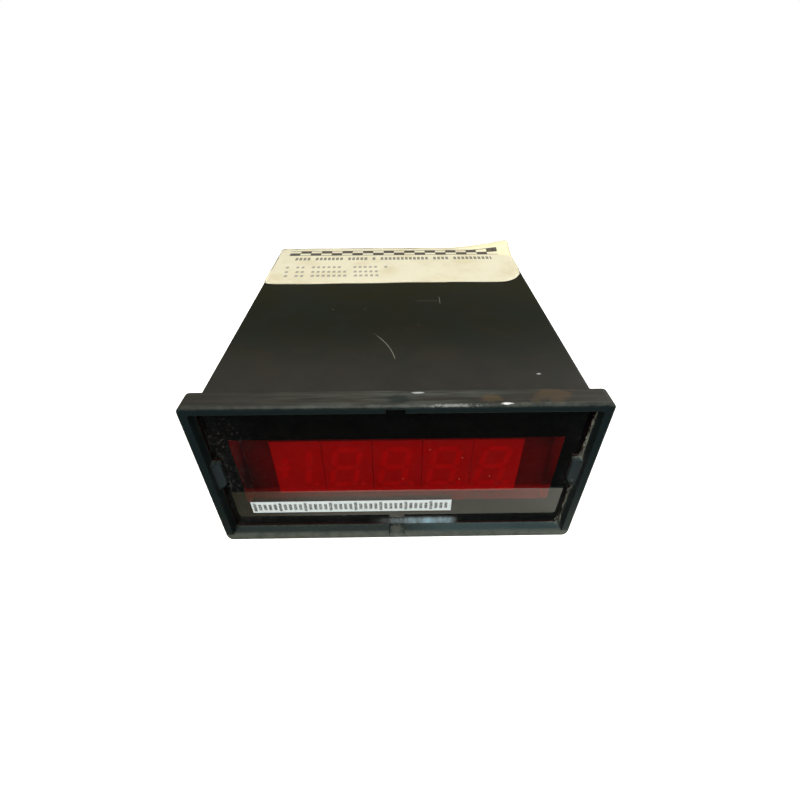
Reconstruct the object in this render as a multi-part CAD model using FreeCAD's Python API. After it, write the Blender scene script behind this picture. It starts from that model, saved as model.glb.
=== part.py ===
import FreeCAD, Part
import math
import os

# Digital panel meter for a standard 92 x 45 mm panel cut-out. Sizes in mm.
# The frame: X right, Y into the panel, Z up. The origin is the middle of the
# flange's rear face, where it meets the panel.

# Panel cut-out, and how far the flange reaches past it
CUTOUT_WIDTH = 92.0
CUTOUT_HEIGHT = 45.0
FLANGE_OVERLAP_SIDE = 2.0
FLANGE_OVERLAP_TOP = 1.5
CASE_GAP_SIDE = 0.5
CASE_GAP_TOP = 0.25

# Moulded case with its front flange
SEAT_WEB = 0.75
FLANGE_CORNER = 1.8
FLANGE_EDGE_BEVEL = 0.45
CASE_LENGTH = 98.5
CASE_WALL = 2.2
CASE_CORNER = 1.2
CAVITY_CORNER = 0.6
RIM_WIDTH = 2.2
RECESS_DEPTH = 3.2
RECESS_CORNER = 0.8
PRY_NOTCH_WIDTH = 4.4
PRY_NOTCH_DEPTH = 1.1
PRY_NOTCH_X = -0.3
LUG_HEIGHT = 9.0
LUG_REACH = 1.9
LUG_SETBACK = 1.7
LUG_RAMP = 0.9
LUG_BEVEL = 1.2
BRACKET_GROOVE_DEPTH = 1.1
BRACKET_GROOVE_HEIGHT = 12.0
BRACKET_GROOVE_START = 14.0
GUIDE_THICKNESS = 1.3
GUIDE_REACH = 1.8
BOSS_SIZE = 7.0
BOSS_BEVEL = 1.5
PILOT_RADIUS = 1.25
PILOT_END_GAP = 1.0

# Lens, its printed mask and the name strip
LENS_THICKNESS = 1.4
LENS_GAP = 0.15
LENS_LUG_GAP = 0.3
MASK_THICKNESS = 0.15
WINDOW_SIDE_MARGIN = 4.9
WINDOW_HEIGHT = 22.95
WINDOW_Z = -0.775
STRIP_WIDTH = 54.4
STRIP_HEIGHT = 4.4
STRIP_THICKNESS = 0.1
STRIP_LEFT_MARGIN = 0.95
STRIP_LAP = 0.8

# Rating label on the case's top
LABEL_LENGTH = 34.6
LABEL_THICKNESS = 0.12
LABEL_SIDE_MARGIN = 0.3
LABEL_CORNER_LEFT = 2.6
LABEL_CORNER_RIGHT = 8.2
LABEL_WAVE = 0.5

# Display modules, one for each digit
DIGIT_COUNT = 5
DIGIT_PITCH = 12.7
DIGIT_SEAM = 0.15
DIGIT_HEIGHT = 19.0
DIGIT_DEPTH = 8.0
DIGIT_ROW_Z = -0.8
DIGIT_SETBACK = 1.35
GLYPH_END_MARGIN = 2.4
GLYPH_SIDE_MARGIN = 2.55
GLYPH_SLANT = math.tan(math.radians(8.0))
SEGMENT_WIDTH = 1.5
SEGMENT_GAP = 0.3
SEGMENT_DEPTH = 0.8
GLYPH_SHIFT = -0.7
POINT_RADIUS = 0.8
POINT_SIDES = 8
POINT_OFFSET = 1.5

# Circuit boards
BOARD_THICKNESS = 1.6
DISPLAY_BOARD_GAP = 0.65
MAIN_BOARD_RISE = 1.45
MAIN_BOARD_GAP = 0.4
GUIDE_CLEARANCE = 0.2
GUIDE_START_GAP = 1.0
LINK_COUNT = 12
LINK_PITCH = 2.54
LINK_PIN = 0.64
LINK_HEADER_SIZE = 2.5
LINK_PIN_TAIL = 1.1

# Zero and span trimmers at the main board's front edge
TRIMMER_LENGTH = 19.0
TRIMMER_WIDTH = 4.8
TRIMMER_HEIGHT = 6.35
TRIMMER_LINK_GAP = 2.36
TRIMMER_GAP = 0.6
TRIMMER_BEVEL = 0.4
TRIMMER_SCREW_RADIUS = 1.1
TRIMMER_SCREW_RISE = 3.2
TRIMMER_SCREW_OUT = 1.7
TRIMMER_SHAFT_RADIUS = 0.7
TRIMMER_SHAFT_LENGTH = 3.0
TRIMMER_SLOT_WIDTH = 0.5
TRIMMER_SLOT_DEPTH = 0.7
TRIMMER_ACCESS_RADIUS = 2.0
RUNNING_CLEARANCE = 0.05

# Rear cover and its screws
COVER_RECESS = 2.0
COVER_THICKNESS = 2.0
COVER_GAP = 0.2
COVER_WINDOW_GAP = 0.3
COVER_SCREW_HOLE = 1.6
COVER_SCREW_HEAD_RADIUS = 2.6
COVER_SCREW_HEAD = 1.7
COVER_SCREW_REACH = 8.0
COVER_SLOT_WIDTH = 0.8
COVER_SLOT_DEPTH = 0.9

# Screw terminals
POWER_POLES = 3
SIGNAL_POLES = 2
TERMINAL_PITCH = 8.25
BARRIER_THICKNESS = 1.2
BARRIER_LENGTH = 6.0
BARRIER_CHAMFER = 1.2
BLOCK_SPACING = 3.0
BLOCK_HEIGHT = 12.5
BLOCK_DEPTH = 10.5
BLOCK_PROUD = 0.5
TAB_WIDTH = 5.8
TAB_HEIGHT = 9.0
TAB_THICKNESS = 0.8
TAB_INSERTION = 7.0
TAB_LEG_WIDTH = 1.2
TAB_LEG_TAIL = 1.0
CLAMP_GAP = 0.42
CLAMP_THICKNESS = 1.0
TERMINAL_SCREW_RADIUS = 1.5
TERMINAL_SCREW_LENGTH = 8.0
TERMINAL_SCREW_END_GAP = 0.6
TERMINAL_POCKET_GAP = 0.3
TERMINAL_HEAD_RADIUS = 2.8
TERMINAL_HEAD_HEIGHT = 1.9
TERMINAL_SLOT_WIDTH = 0.8
TERMINAL_SLOT_DEPTH = 1.0

# Spaces between the parts on the main board
ROW_GAP = 0.4
ZONE_GAP = 1.0
WALL_GAP = 2.3

# Mains transformer
CORE_HEIGHT = 27.0
CORE_STACK = 12.0
CORE_LIMB = 5.3
BOBBIN_WALL = 1.0
WINDING_BUILD = 3.9
WINDING_GAP = 0.5
WINDING_CORNER = 1.5

# Converter chip in its socket
CHIP_GAP = 0.7
CHIP_LEGS_PER_SIDE = 20
CHIP_LEG_PITCH = 2.54
CHIP_WIDTH = 13.2
CHIP_HEIGHT = 3.8
CHIP_END = 1.6
CHIP_LEG_WIDTH = 0.5
CHIP_LEG_THICKNESS = 0.3
CHIP_LIFT = 0.7
CHIP_NOTCH_RADIUS = 1.4
SOCKET_HEIGHT = 4.2
SOCKET_RAIL = 2.6
SOCKET_BAR = 3.0

# Other parts on the main board
BIG_CAPACITOR_RADIUS = 8.0
BIG_CAPACITOR_HEIGHT = 25.0
SMALL_CAPACITOR_RADIUS = 4.0
SMALL_CAPACITOR_HEIGHT = 12.0
FILM_COUNT = 4
FILM_PITCH = 6.0
FILM_SIZE = (3.5, 11.0, 9.0)
FILM_BEVEL = 0.6
FILM_GAP = 7.0
RESISTOR_ROWS = 2
RESISTOR_PITCH = 9.0
RESISTOR_START = 5.0
RESISTOR_GAP = 0.6
RESISTOR_BODY_LENGTH = 6.4
RESISTOR_RADIUS = 1.15
RESISTOR_SPAN = 10.2
RESISTOR_LEAD = 0.3
RECTIFIER_RADIUS = 4.5
RECTIFIER_HEIGHT = 5.4
RECTIFIER_STAND = 2.5
RECTIFIER_LEAD = 0.4
SINK_WIDTH = 15.0
SINK_DEPTH = 9.0
SINK_HEIGHT = 22.0
SINK_METAL = 1.2
REGULATOR_WIDTH = 10.0
REGULATOR_BODY_HEIGHT = 9.0
REGULATOR_DEPTH = 4.4
REGULATOR_TAB_THICKNESS = 1.3
REGULATOR_TAB_HEIGHT = 6.4
REGULATOR_STAND = 4.0
REGULATOR_HOLE = 1.8
REGULATOR_LEG = 0.8
REGULATOR_LEG_PITCH = 2.54

# Sizes that follow from the ones above
flange_width = CUTOUT_WIDTH + 2 * FLANGE_OVERLAP_SIDE
flange_height = CUTOUT_HEIGHT + 2 * FLANGE_OVERLAP_TOP
case_width = CUTOUT_WIDTH - 2 * CASE_GAP_SIDE
case_height = CUTOUT_HEIGHT - 2 * CASE_GAP_TOP
cavity_width = case_width - 2 * CASE_WALL
cavity_height = case_height - 2 * CASE_WALL
recess_width = flange_width - 2 * RIM_WIDTH
recess_height = flange_height - 2 * RIM_WIDTH
flange_thickness = RECESS_DEPTH + LENS_THICKNESS + MASK_THICKNESS + SEAT_WEB
front_y = -flange_thickness
lens_front_y = front_y + RECESS_DEPTH
lens_rear_y = lens_front_y + LENS_THICKNESS
seat_y = lens_rear_y + MASK_THICKNESS
lens_width = recess_width - 2 * LENS_GAP
lens_height = recess_height - 2 * LENS_GAP
window_width = lens_width - 2 * WINDOW_SIDE_MARGIN
glyph_height = DIGIT_HEIGHT - 2 * GLYPH_END_MARGIN
glyph_width = DIGIT_PITCH - 2 * GLYPH_SIDE_MARGIN
digit_face_y = seat_y + DIGIT_SETBACK
display_front_y = digit_face_y + DIGIT_DEPTH
display_rear_y = display_front_y + BOARD_THICKNESS
board_bottom_z = -cavity_height / 2 + MAIN_BOARD_RISE
board_top_z = board_bottom_z + BOARD_THICKNESS
cover_rear_y = CASE_LENGTH - COVER_RECESS
cover_front_y = cover_rear_y - COVER_THICKNESS
boss_front_y = cover_front_y - COVER_SCREW_REACH - PILOT_END_GAP
boss_x = cavity_width / 2 - BOSS_SIZE / 2
guide_start_y = display_rear_y + GUIDE_START_GAP
block_rear_y = cover_rear_y + BLOCK_PROUD
block_front_y = block_rear_y - BLOCK_DEPTH
tab_rear_y = block_rear_y + TAB_THICKNESS
clamp_rear_y = tab_rear_y + CLAMP_THICKNESS
terminal_z = board_top_z + BLOCK_HEIGHT / 2
power_width = POWER_POLES * TERMINAL_PITCH + BARRIER_THICKNESS
signal_width = SIGNAL_POLES * TERMINAL_PITCH + BARRIER_THICKNESS
blocks_width = power_width + BLOCK_SPACING + signal_width
power_left = -blocks_width / 2
signal_left = power_left + power_width + BLOCK_SPACING
clamp_size = TERMINAL_PITCH - BARRIER_THICKNESS - 2 * CLAMP_GAP
trimmer_x = LINK_COUNT * LINK_PITCH / 2 + TRIMMER_LINK_GAP + TRIMMER_WIDTH / 2
trimmer_front_y = display_rear_y + TRIMMER_GAP
trimmer_screw_z = board_top_z + TRIMMER_SCREW_RISE
trimmer_screw_y = trimmer_front_y - TRIMMER_SCREW_OUT
chip_y = trimmer_front_y + TRIMMER_LENGTH + CHIP_GAP + CHIP_WIDTH / 2 + SOCKET_RAIL / 2
rear_zone_y = min(block_front_y, boss_front_y) - ZONE_GAP
winding_reach = BOBBIN_WALL + WINDING_BUILD
core_window = winding_reach + WINDING_GAP
core_width = 4 * CORE_LIMB + 2 * core_window
transformer_x = cavity_width / 2 - WALL_GAP - core_width / 2
transformer_y = rear_zone_y - winding_reach - CORE_STACK / 2
big_capacitor_x = -cavity_width / 2 + WALL_GAP + BIG_CAPACITOR_RADIUS
big_capacitor_y = rear_zone_y - BIG_CAPACITOR_RADIUS
sink_left = big_capacitor_x + BIG_CAPACITOR_RADIUS + ROW_GAP
sink_x = sink_left + SINK_WIDTH / 2
sink_y = rear_zone_y - SINK_DEPTH
small_capacitor_x = sink_left + SMALL_CAPACITOR_RADIUS
small_capacitor_y = sink_y - ZONE_GAP - SMALL_CAPACITOR_RADIUS
rectifier_x = small_capacitor_x + SMALL_CAPACITOR_RADIUS + ROW_GAP + RECTIFIER_RADIUS
rectifier_y = sink_y - ZONE_GAP - RECTIFIER_RADIUS


def vector(x, y, z):
    return FreeCAD.Vector(x, y, z)


def block(x, y, z):
    """A square-edged block between pairs of limits on each axis."""
    return Part.makeBox(x[1] - x[0], y[1] - y[0], z[1] - z[0], vector(x[0], y[0], z[0]))


def upright(radius, x, y, z):
    """A round bar along Z between two heights."""
    return Part.makeCylinder(radius, z[1] - z[0], vector(x, y, z[0]), vector(0, 0, 1))


def round_bar(radius, x, z, y):
    """A round bar along Y between two depths."""
    return Part.makeCylinder(radius, y[1] - y[0], vector(x, y[0], z), vector(0, 1, 0))


def prism(outline, y):
    """An outline of X, Z points drawn out along Y between two depths."""
    points = [vector(px, y[0], pz) for px, pz in outline]
    face = Part.Face(Part.makePolygon(points + points[:1]))
    return face.extrude(vector(0, y[1] - y[0], 0))


def edges_along(shape, axis):
    """The straight edges of a shape that run along one axis."""
    found = []
    for edge in shape.Edges:
        direction = edge.tangentAt(edge.FirstParameter)
        if isinstance(edge.Curve, Part.Line) and abs(direction.dot(axis)) > 0.999:
            found.append(edge)
    return found


def rounded_plate(width, height, corner, y):
    """A plate across Y with its four corners rounded."""
    plate = block((-width / 2, width / 2), y, (-height / 2, height / 2))
    return plate.makeFillet(corner, edges_along(plate, vector(0, 1, 0)))


def bevelled_plate(width, height, corner, y):
    """A plate across Y with its four corners cut at an angle."""
    plate = block((-width / 2, width / 2), y, (-height / 2, height / 2))
    return plate.makeChamfer(corner, edges_along(plate, vector(0, 1, 0)))


def four_corners(x, z):
    return [(sx * x, sz * z) for sx in (-1, 1) for sz in (-1, 1)]


def lens_outline(width, height, corner, y):
    """The lens's outline, with a slot at each side that passes the lug."""
    plate = bevelled_plate(width, height, corner, y)
    slot_height = LUG_HEIGHT + 2 * LENS_LUG_GAP
    slot_reach = recess_width / 2 - LUG_REACH - LENS_LUG_GAP
    for side in (-1, 1):
        slot_x = sorted((side * slot_reach, side * recess_width))
        slot = block(slot_x, y, (-slot_height / 2, slot_height / 2))
        plate = plate.cut(slot)
    return plate


def make_case():
    """The moulded case: flange, tube, lens seat, lugs, card guides and screw bosses."""
    flange = rounded_plate(flange_width, flange_height, FLANGE_CORNER, (front_y, 0))
    front_edges = [e for e in flange.Edges if abs(e.BoundBox.YMax - front_y) < 1e-6]
    flange = flange.makeChamfer(FLANGE_EDGE_BEVEL, front_edges)
    tube = rounded_plate(case_width, case_height, CASE_CORNER, (0, CASE_LENGTH))
    shape = flange.fuse(tube)
    recess = rounded_plate(recess_width, recess_height, RECESS_CORNER, (front_y, seat_y))
    cavity = bevelled_plate(cavity_width, cavity_height, CAVITY_CORNER, (seat_y, CASE_LENGTH))
    shape = shape.cut(recess).cut(cavity)
    for side in (-1, 1):
        shape = shape.cut(bracket_groove(side)).fuse(lens_lug(side)).cut(pry_notch(side))
        shape = shape.fuse(card_guide(side, -cavity_height / 2, board_bottom_z))
        upper = board_top_z + GUIDE_CLEARANCE
        shape = shape.fuse(card_guide(side, upper, upper + GUIDE_THICKNESS))
        shape = shape.fuse(screw_boss(side))
        pilot = round_bar(PILOT_RADIUS, side * boss_x, 0, (boss_front_y, cover_front_y))
        shape = shape.cut(pilot)
    return shape.removeSplitter()


def bracket_groove(side):
    """The long groove in a side wall that the panel bracket slides in."""
    outer = case_width / 2
    groove_x = sorted((side * (outer - BRACKET_GROOVE_DEPTH), side * (outer + 1)))
    half = BRACKET_GROOVE_HEIGHT / 2
    return block(groove_x, (BRACKET_GROOVE_START, CASE_LENGTH), (-half, half))


def lens_lug(side):
    """A ramped lug on the rim's inner wall that keeps the lens in line."""
    wall_x = recess_width / 2
    lug_front = front_y + LUG_SETBACK
    half = LUG_HEIGHT / 2
    lug_x = sorted((side * (wall_x - LUG_REACH), side * (wall_x + RIM_WIDTH / 2)))
    lug = block(lug_x, (lug_front, seat_y), (-half, half))
    inner_x = side * (wall_x - LUG_REACH)
    inner = [e for e in edges_along(lug, vector(0, 1, 0)) if abs(e.BoundBox.XMax - inner_x) < 1e-6]
    lug = lug.makeChamfer(LUG_BEVEL, inner)
    ramp_points = [
        vector(inner_x, lug_front, -LUG_HEIGHT),
        vector(inner_x + side * LUG_REACH, lug_front, -LUG_HEIGHT),
        vector(inner_x, lug_front + LUG_RAMP, -LUG_HEIGHT),
    ]
    ramp = Part.Face(Part.makePolygon(ramp_points + ramp_points[:1]))
    return lug.cut(ramp.extrude(vector(0, 0, 2 * LUG_HEIGHT)))


def pry_notch(side):
    """A bite in the rim's inner edge where a blade lifts the lens out."""
    inner_z = side * recess_height / 2
    notch_z = sorted((inner_z, inner_z + side * PRY_NOTCH_DEPTH))
    notch_x = (PRY_NOTCH_X - PRY_NOTCH_WIDTH / 2, PRY_NOTCH_X + PRY_NOTCH_WIDTH / 2)
    return block(notch_x, (front_y, lens_rear_y), notch_z)


def card_guide(side, bottom, top):
    """A rib along a side wall that a board's edge slides on."""
    wall_x = cavity_width / 2
    guide_x = sorted((side * (wall_x - GUIDE_REACH), side * (wall_x + CASE_WALL / 2)))
    return block(guide_x, (guide_start_y, cover_front_y), (bottom, top))


def screw_boss(side):
    """A column on the side wall that takes one cover screw."""
    inner_x = side * (cavity_width / 2 - BOSS_SIZE)
    outer_x = side * (cavity_width / 2 + BRACKET_GROOVE_DEPTH / 2)
    boss_z = (-BOSS_SIZE / 2, BOSS_SIZE / 2)
    boss = block(sorted((inner_x, outer_x)), (boss_front_y, cover_front_y), boss_z)
    inner = [e for e in edges_along(boss, vector(0, 1, 0)) if abs(e.BoundBox.XMax - inner_x) < 1e-6]
    return boss.makeChamfer(BOSS_BEVEL, inner)


def make_lens():
    """The flat acrylic lens."""
    return lens_outline(lens_width, lens_height, RECESS_CORNER, (lens_front_y, lens_rear_y))


def make_lens_mask():
    """The printed mask behind the lens, with the display window left open."""
    mask = lens_outline(lens_width, lens_height, RECESS_CORNER, (lens_rear_y, seat_y))
    window_z = (WINDOW_Z - WINDOW_HEIGHT / 2, WINDOW_Z + WINDOW_HEIGHT / 2)
    return mask.cut(block((-window_width / 2, window_width / 2), (lens_rear_y, seat_y), window_z))


def make_name_strip():
    """The pale strip stuck on the lens's face, just over the window's lower edge."""
    left = -window_width / 2 + STRIP_LEFT_MARGIN
    top = WINDOW_Z - WINDOW_HEIGHT / 2 + STRIP_LAP
    strip_y = (lens_front_y - STRIP_THICKNESS, lens_front_y)
    return block((left, left + STRIP_WIDTH), strip_y, (top - STRIP_HEIGHT, top))


def make_rating_label():
    """The paper label on the case's top: a wavy front edge and rounded front corners."""
    half = case_width / 2 - LABEL_SIDE_MARGIN
    rear = CASE_LENGTH - LABEL_SIDE_MARGIN
    front = rear - LABEL_LENGTH
    top = case_height / 2
    left_end = vector(-half, front + LABEL_CORNER_LEFT, top)
    right_end = vector(half, front + LABEL_CORNER_RIGHT, top)
    left_start = vector(-half + LABEL_CORNER_LEFT, front, top)
    right_start = vector(half - LABEL_CORNER_RIGHT, front, top)
    wave = []
    wave_steps = 4
    for step in range(wave_steps + 1):
        share = step / wave_steps
        x = left_start.x + share * (right_start.x - left_start.x)
        y = front - LABEL_WAVE * math.sin(math.pi * 2 * share)
        wave.append(vector(x, y, top))
    curve = Part.BSplineCurve()
    curve.interpolate(wave)
    bend = 1 - math.sqrt(0.5)
    left_middle = vector(-half + LABEL_CORNER_LEFT * bend, front + LABEL_CORNER_LEFT * bend, top)
    right_middle = vector(half - LABEL_CORNER_RIGHT * bend, front + LABEL_CORNER_RIGHT * bend, top)
    rear_left = vector(-half, rear, top)
    rear_right = vector(half, rear, top)
    outline = Part.Wire([
        Part.makeLine(rear_left, left_end),
        Part.Arc(left_end, left_middle, left_start).toShape(),
        curve.toShape(),
        Part.Arc(right_start, right_middle, right_end).toShape(),
        Part.makeLine(right_end, rear_right),
        Part.makeLine(rear_right, rear_left),
    ])
    return Part.Face(outline).extrude(vector(0, 0, LABEL_THICKNESS))


def bar_outline(x, z, length, upright_bar):
    """A bar with pointed ends, leaning as the digits do."""
    half = length / 2
    tip = SEGMENT_WIDTH / 2
    points = [(-half, 0), (-half + tip, tip), (half - tip, tip), (half, 0), (half - tip, -tip), (-half + tip, -tip)]
    outline = []
    for along, across in points:
        px, pz = (x + across, z + along) if upright_bar else (x + along, z + across)
        outline.append((px + GLYPH_SLANT * pz, pz))
    return outline


def digit_bars():
    """The seven bars of a full digit, about its own centre."""
    reach_x = (glyph_width - SEGMENT_WIDTH) / 2
    reach_z = (glyph_height - SEGMENT_WIDTH) / 2
    long_bar = reach_z - 2 * SEGMENT_GAP
    short_bar = 2 * reach_x - 2 * SEGMENT_GAP
    bars = [bar_outline(0, level * reach_z, short_bar, False) for level in (-1, 0, 1)]
    for x, z in four_corners(reach_x, reach_z / 2):
        bars.append(bar_outline(x, z, long_bar, True))
    return bars


def sign_bars():
    """The plus or minus sign and the figure one of the left-hand module."""
    reach_x = (glyph_width - SEGMENT_WIDTH) / 2
    reach_z = (glyph_height - SEGMENT_WIDTH) / 2
    long_bar = reach_z - 2 * SEGMENT_GAP
    arm = glyph_width / 2
    sign_x = -reach_x
    bars = [bar_outline(sign_x, 0, arm, False)]
    for level in (-1, 1):
        bars.append(bar_outline(sign_x, level * (arm / 2 + SEGMENT_GAP), arm - 2 * SEGMENT_GAP, True))
        bars.append(bar_outline(reach_x, level * reach_z / 2, long_bar, True))
    return bars


def make_segments(number):
    """The clear resin bars of one display module, with its decimal point."""
    centre_x = (number - (DIGIT_COUNT + 1) / 2) * DIGIT_PITCH + GLYPH_SHIFT
    segment_y = (digit_face_y, digit_face_y + SEGMENT_DEPTH)
    bars = sign_bars() if number == 1 else digit_bars()
    solids = []
    for bar in bars:
        solids.append(prism([(centre_x + px, DIGIT_ROW_Z + pz) for px, pz in bar], segment_y))
    point_x = centre_x + glyph_width / 2 + POINT_OFFSET - GLYPH_SLANT * glyph_height / 2
    point_z = DIGIT_ROW_Z - glyph_height / 2 + POINT_RADIUS
    point = []
    for side in range(POINT_SIDES):
        turn = math.radians(360 * (side + 0.5) / POINT_SIDES)
        point.append((point_x + POINT_RADIUS * math.cos(turn), point_z + POINT_RADIUS * math.sin(turn)))
    solids.append(prism(point, segment_y))
    return Part.makeCompound(solids)


def make_digit_body(number):
    """The moulded body of one display module, with a pocket for each bar."""
    centre_x = (number - (DIGIT_COUNT + 1) / 2) * DIGIT_PITCH
    half = (DIGIT_PITCH - DIGIT_SEAM) / 2
    body_z = (DIGIT_ROW_Z - DIGIT_HEIGHT / 2, DIGIT_ROW_Z + DIGIT_HEIGHT / 2)
    body = block((centre_x - half, centre_x + half), (digit_face_y, display_front_y), body_z)
    return body.cut(make_segments(number))


def make_display_board():
    """The upright board that carries the display modules."""
    half_x = cavity_width / 2 - DISPLAY_BOARD_GAP
    half_z = cavity_height / 2 - DISPLAY_BOARD_GAP
    board = block((-half_x, half_x), (display_front_y, display_rear_y), (-half_z, half_z))
    for side in (-1, 1):
        access = round_bar(
            TRIMMER_ACCESS_RADIUS, side * trimmer_x, trimmer_screw_z, (display_front_y, display_rear_y)
        )
        board = board.cut(access)
    return board.cut(make_link_pins())


def link_places():
    return [(i - (LINK_COUNT - 1) / 2) * LINK_PITCH for i in range(LINK_COUNT)]


def make_link_pins():
    """The angled pins that join the two boards."""
    pins = []
    half = LINK_PIN / 2
    pin_z = board_top_z + LINK_HEADER_SIZE / 2
    pin_y = display_rear_y + LINK_HEADER_SIZE + LINK_PIN
    for x in link_places():
        pin_x = (x - half, x + half)
        across = block(pin_x, (display_front_y - LINK_PIN_TAIL, pin_y + half), (pin_z - half, pin_z + half))
        down = block(pin_x, (pin_y - half, pin_y + half), (board_bottom_z - LINK_PIN_TAIL, pin_z + half))
        pins.append(across.fuse(down).removeSplitter())
    return Part.makeCompound(pins)


def make_link_header():
    """The moulded strip that holds the angled pins against the display board."""
    half = LINK_COUNT * LINK_PITCH / 2
    strip_y = (display_rear_y, display_rear_y + LINK_HEADER_SIZE)
    strip = block((-half, half), strip_y, (board_top_z, board_top_z + LINK_HEADER_SIZE))
    return strip.cut(make_link_pins())


def make_main_board():
    """The main board, which slides into the card guides from the rear."""
    half = cavity_width / 2 - MAIN_BOARD_GAP
    board_y = (display_rear_y, cover_front_y - MAIN_BOARD_GAP)
    board = block((-half, half), board_y, (board_bottom_z, board_top_z))
    return board.cut(make_link_pins()).cut(make_terminal_tabs())


def trimmer_body(side):
    """A multi-turn trimmer's case, with the hole that its screw turns in."""
    x = side * trimmer_x
    half = TRIMMER_WIDTH / 2
    body_y = (trimmer_front_y, trimmer_front_y + TRIMMER_LENGTH)
    body = block((x - half, x + half), body_y, (board_top_z, board_top_z + TRIMMER_HEIGHT))
    top_edges = [e for e in body.Edges if e.BoundBox.ZMin > board_top_z + TRIMMER_HEIGHT / 2]
    body = body.makeChamfer(TRIMMER_BEVEL, top_edges)
    hole_end = trimmer_front_y + TRIMMER_SHAFT_LENGTH + RUNNING_CLEARANCE
    hole = round_bar(TRIMMER_SHAFT_RADIUS + RUNNING_CLEARANCE, x, trimmer_screw_z, (trimmer_front_y, hole_end))
    return body.cut(hole)


def trimmer_screw(side):
    """A trimmer's slotted brass screw and its shaft."""
    x = side * trimmer_x
    head_rear = trimmer_front_y - RUNNING_CLEARANCE
    head = round_bar(TRIMMER_SCREW_RADIUS, x, trimmer_screw_z, (trimmer_screw_y, head_rear))
    shaft_end = trimmer_front_y + TRIMMER_SHAFT_LENGTH
    shaft = round_bar(TRIMMER_SHAFT_RADIUS, x, trimmer_screw_z, (head_rear, shaft_end))
    half = TRIMMER_SLOT_WIDTH / 2
    slot_x = (x - 2 * TRIMMER_SCREW_RADIUS, x + 2 * TRIMMER_SCREW_RADIUS)
    slot_y = (trimmer_screw_y, trimmer_screw_y + TRIMMER_SLOT_DEPTH)
    slot = block(slot_x, slot_y, (trimmer_screw_z - half, trimmer_screw_z + half))
    return head.fuse(shaft).cut(slot)


def make_rear_cover():
    """The flat cover in the case's rear, with a window for each terminal block."""
    half_x = cavity_width / 2 - COVER_GAP
    half_z = cavity_height / 2 - COVER_GAP
    cover_y = (cover_front_y, cover_rear_y)
    cover = bevelled_plate(2 * half_x, 2 * half_z, CAVITY_CORNER, cover_y)
    for left, width in ((power_left, power_width), (signal_left, signal_width)):
        window_x = (left - COVER_WINDOW_GAP, left + width + COVER_WINDOW_GAP)
        window_z = (board_top_z - COVER_WINDOW_GAP, board_top_z + BLOCK_HEIGHT + COVER_WINDOW_GAP)
        cover = cover.cut(block(window_x, cover_y, window_z))
    for side in (-1, 1):
        cover = cover.cut(round_bar(COVER_SCREW_HOLE, side * boss_x, 0, cover_y))
    return cover


def make_cover_screws():
    """The two slotted screws that hold the cover to the bosses."""
    screws = []
    head_y = (cover_rear_y, cover_rear_y + COVER_SCREW_HEAD)
    for side in (-1, 1):
        x = side * boss_x
        head = round_bar(COVER_SCREW_HEAD_RADIUS, x, 0, head_y)
        shank = round_bar(PILOT_RADIUS, x, 0, (cover_front_y - COVER_SCREW_REACH, cover_rear_y))
        slot_x = (x - COVER_SCREW_HEAD_RADIUS, x + COVER_SCREW_HEAD_RADIUS)
        half = COVER_SLOT_WIDTH / 2
        slot = block(slot_x, (head_y[1] - COVER_SLOT_DEPTH, head_y[1]), (-half, half))
        screws.append(head.fuse(shank).cut(slot))
    return Part.makeCompound(screws)


def pole_places():
    """The X of each terminal screw, power poles first."""
    offset = BARRIER_THICKNESS / 2 + TERMINAL_PITCH / 2
    power = [power_left + offset + i * TERMINAL_PITCH for i in range(POWER_POLES)]
    signal = [signal_left + offset + i * TERMINAL_PITCH for i in range(SIGNAL_POLES)]
    return power + signal


def terminal_block(left, width, poles):
    """A moulded terminal block: a base with a barrier each side of every pole."""
    block_z = (board_top_z, board_top_z + BLOCK_HEIGHT)
    shape = block((left, left + width), (block_front_y, block_rear_y), block_z)
    for index in range(poles + 1):
        barrier_left = left + index * TERMINAL_PITCH
        barrier_x = (barrier_left, barrier_left + BARRIER_THICKNESS)
        barrier = block(barrier_x, (block_rear_y, block_rear_y + BARRIER_LENGTH), block_z)
        tips = [e for e in edges_along(barrier, vector(1, 0, 0)) if e.BoundBox.YMin > block_rear_y]
        shape = shape.fuse(barrier.makeChamfer(BARRIER_CHAMFER, tips))
    pocket_end = clamp_rear_y - TERMINAL_SCREW_LENGTH - TERMINAL_SCREW_END_GAP
    pocket_reach = TERMINAL_SCREW_RADIUS + TERMINAL_POCKET_GAP
    for x in pole_places():
        if left < x < left + width:
            pocket_x = (x - pocket_reach, x + pocket_reach)
            pocket_z = (terminal_z - pocket_reach, terminal_z + pocket_reach)
            shape = shape.cut(block(pocket_x, (pocket_end, block_rear_y), pocket_z))
    return shape.removeSplitter().cut(make_terminal_tabs())


def make_terminal_tabs():
    """The bent metal tabs: a threaded face, a blade through the block and a solder leg."""
    tabs = []
    half = TAB_WIDTH / 2
    leg = TAB_LEG_WIDTH / 2
    foot_z = terminal_z - TAB_HEIGHT / 2
    inner_y = block_rear_y - TAB_INSERTION
    for x in pole_places():
        face_z = (foot_z, terminal_z + TAB_HEIGHT / 2)
        face = block((x - half, x + half), (block_rear_y, tab_rear_y), face_z)
        blade = block((x - leg, x + leg), (inner_y, tab_rear_y), (foot_z, foot_z + TAB_THICKNESS))
        leg_z = (board_bottom_z - TAB_LEG_TAIL, foot_z + TAB_THICKNESS)
        down = block((x - leg, x + leg), (inner_y, inner_y + TAB_THICKNESS), leg_z)
        thread = round_bar(TERMINAL_SCREW_RADIUS + RUNNING_CLEARANCE, x, terminal_z, (block_rear_y, tab_rear_y))
        tabs.append(face.fuse(blade).fuse(down).removeSplitter().cut(thread))
    return Part.makeCompound(tabs)


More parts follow.
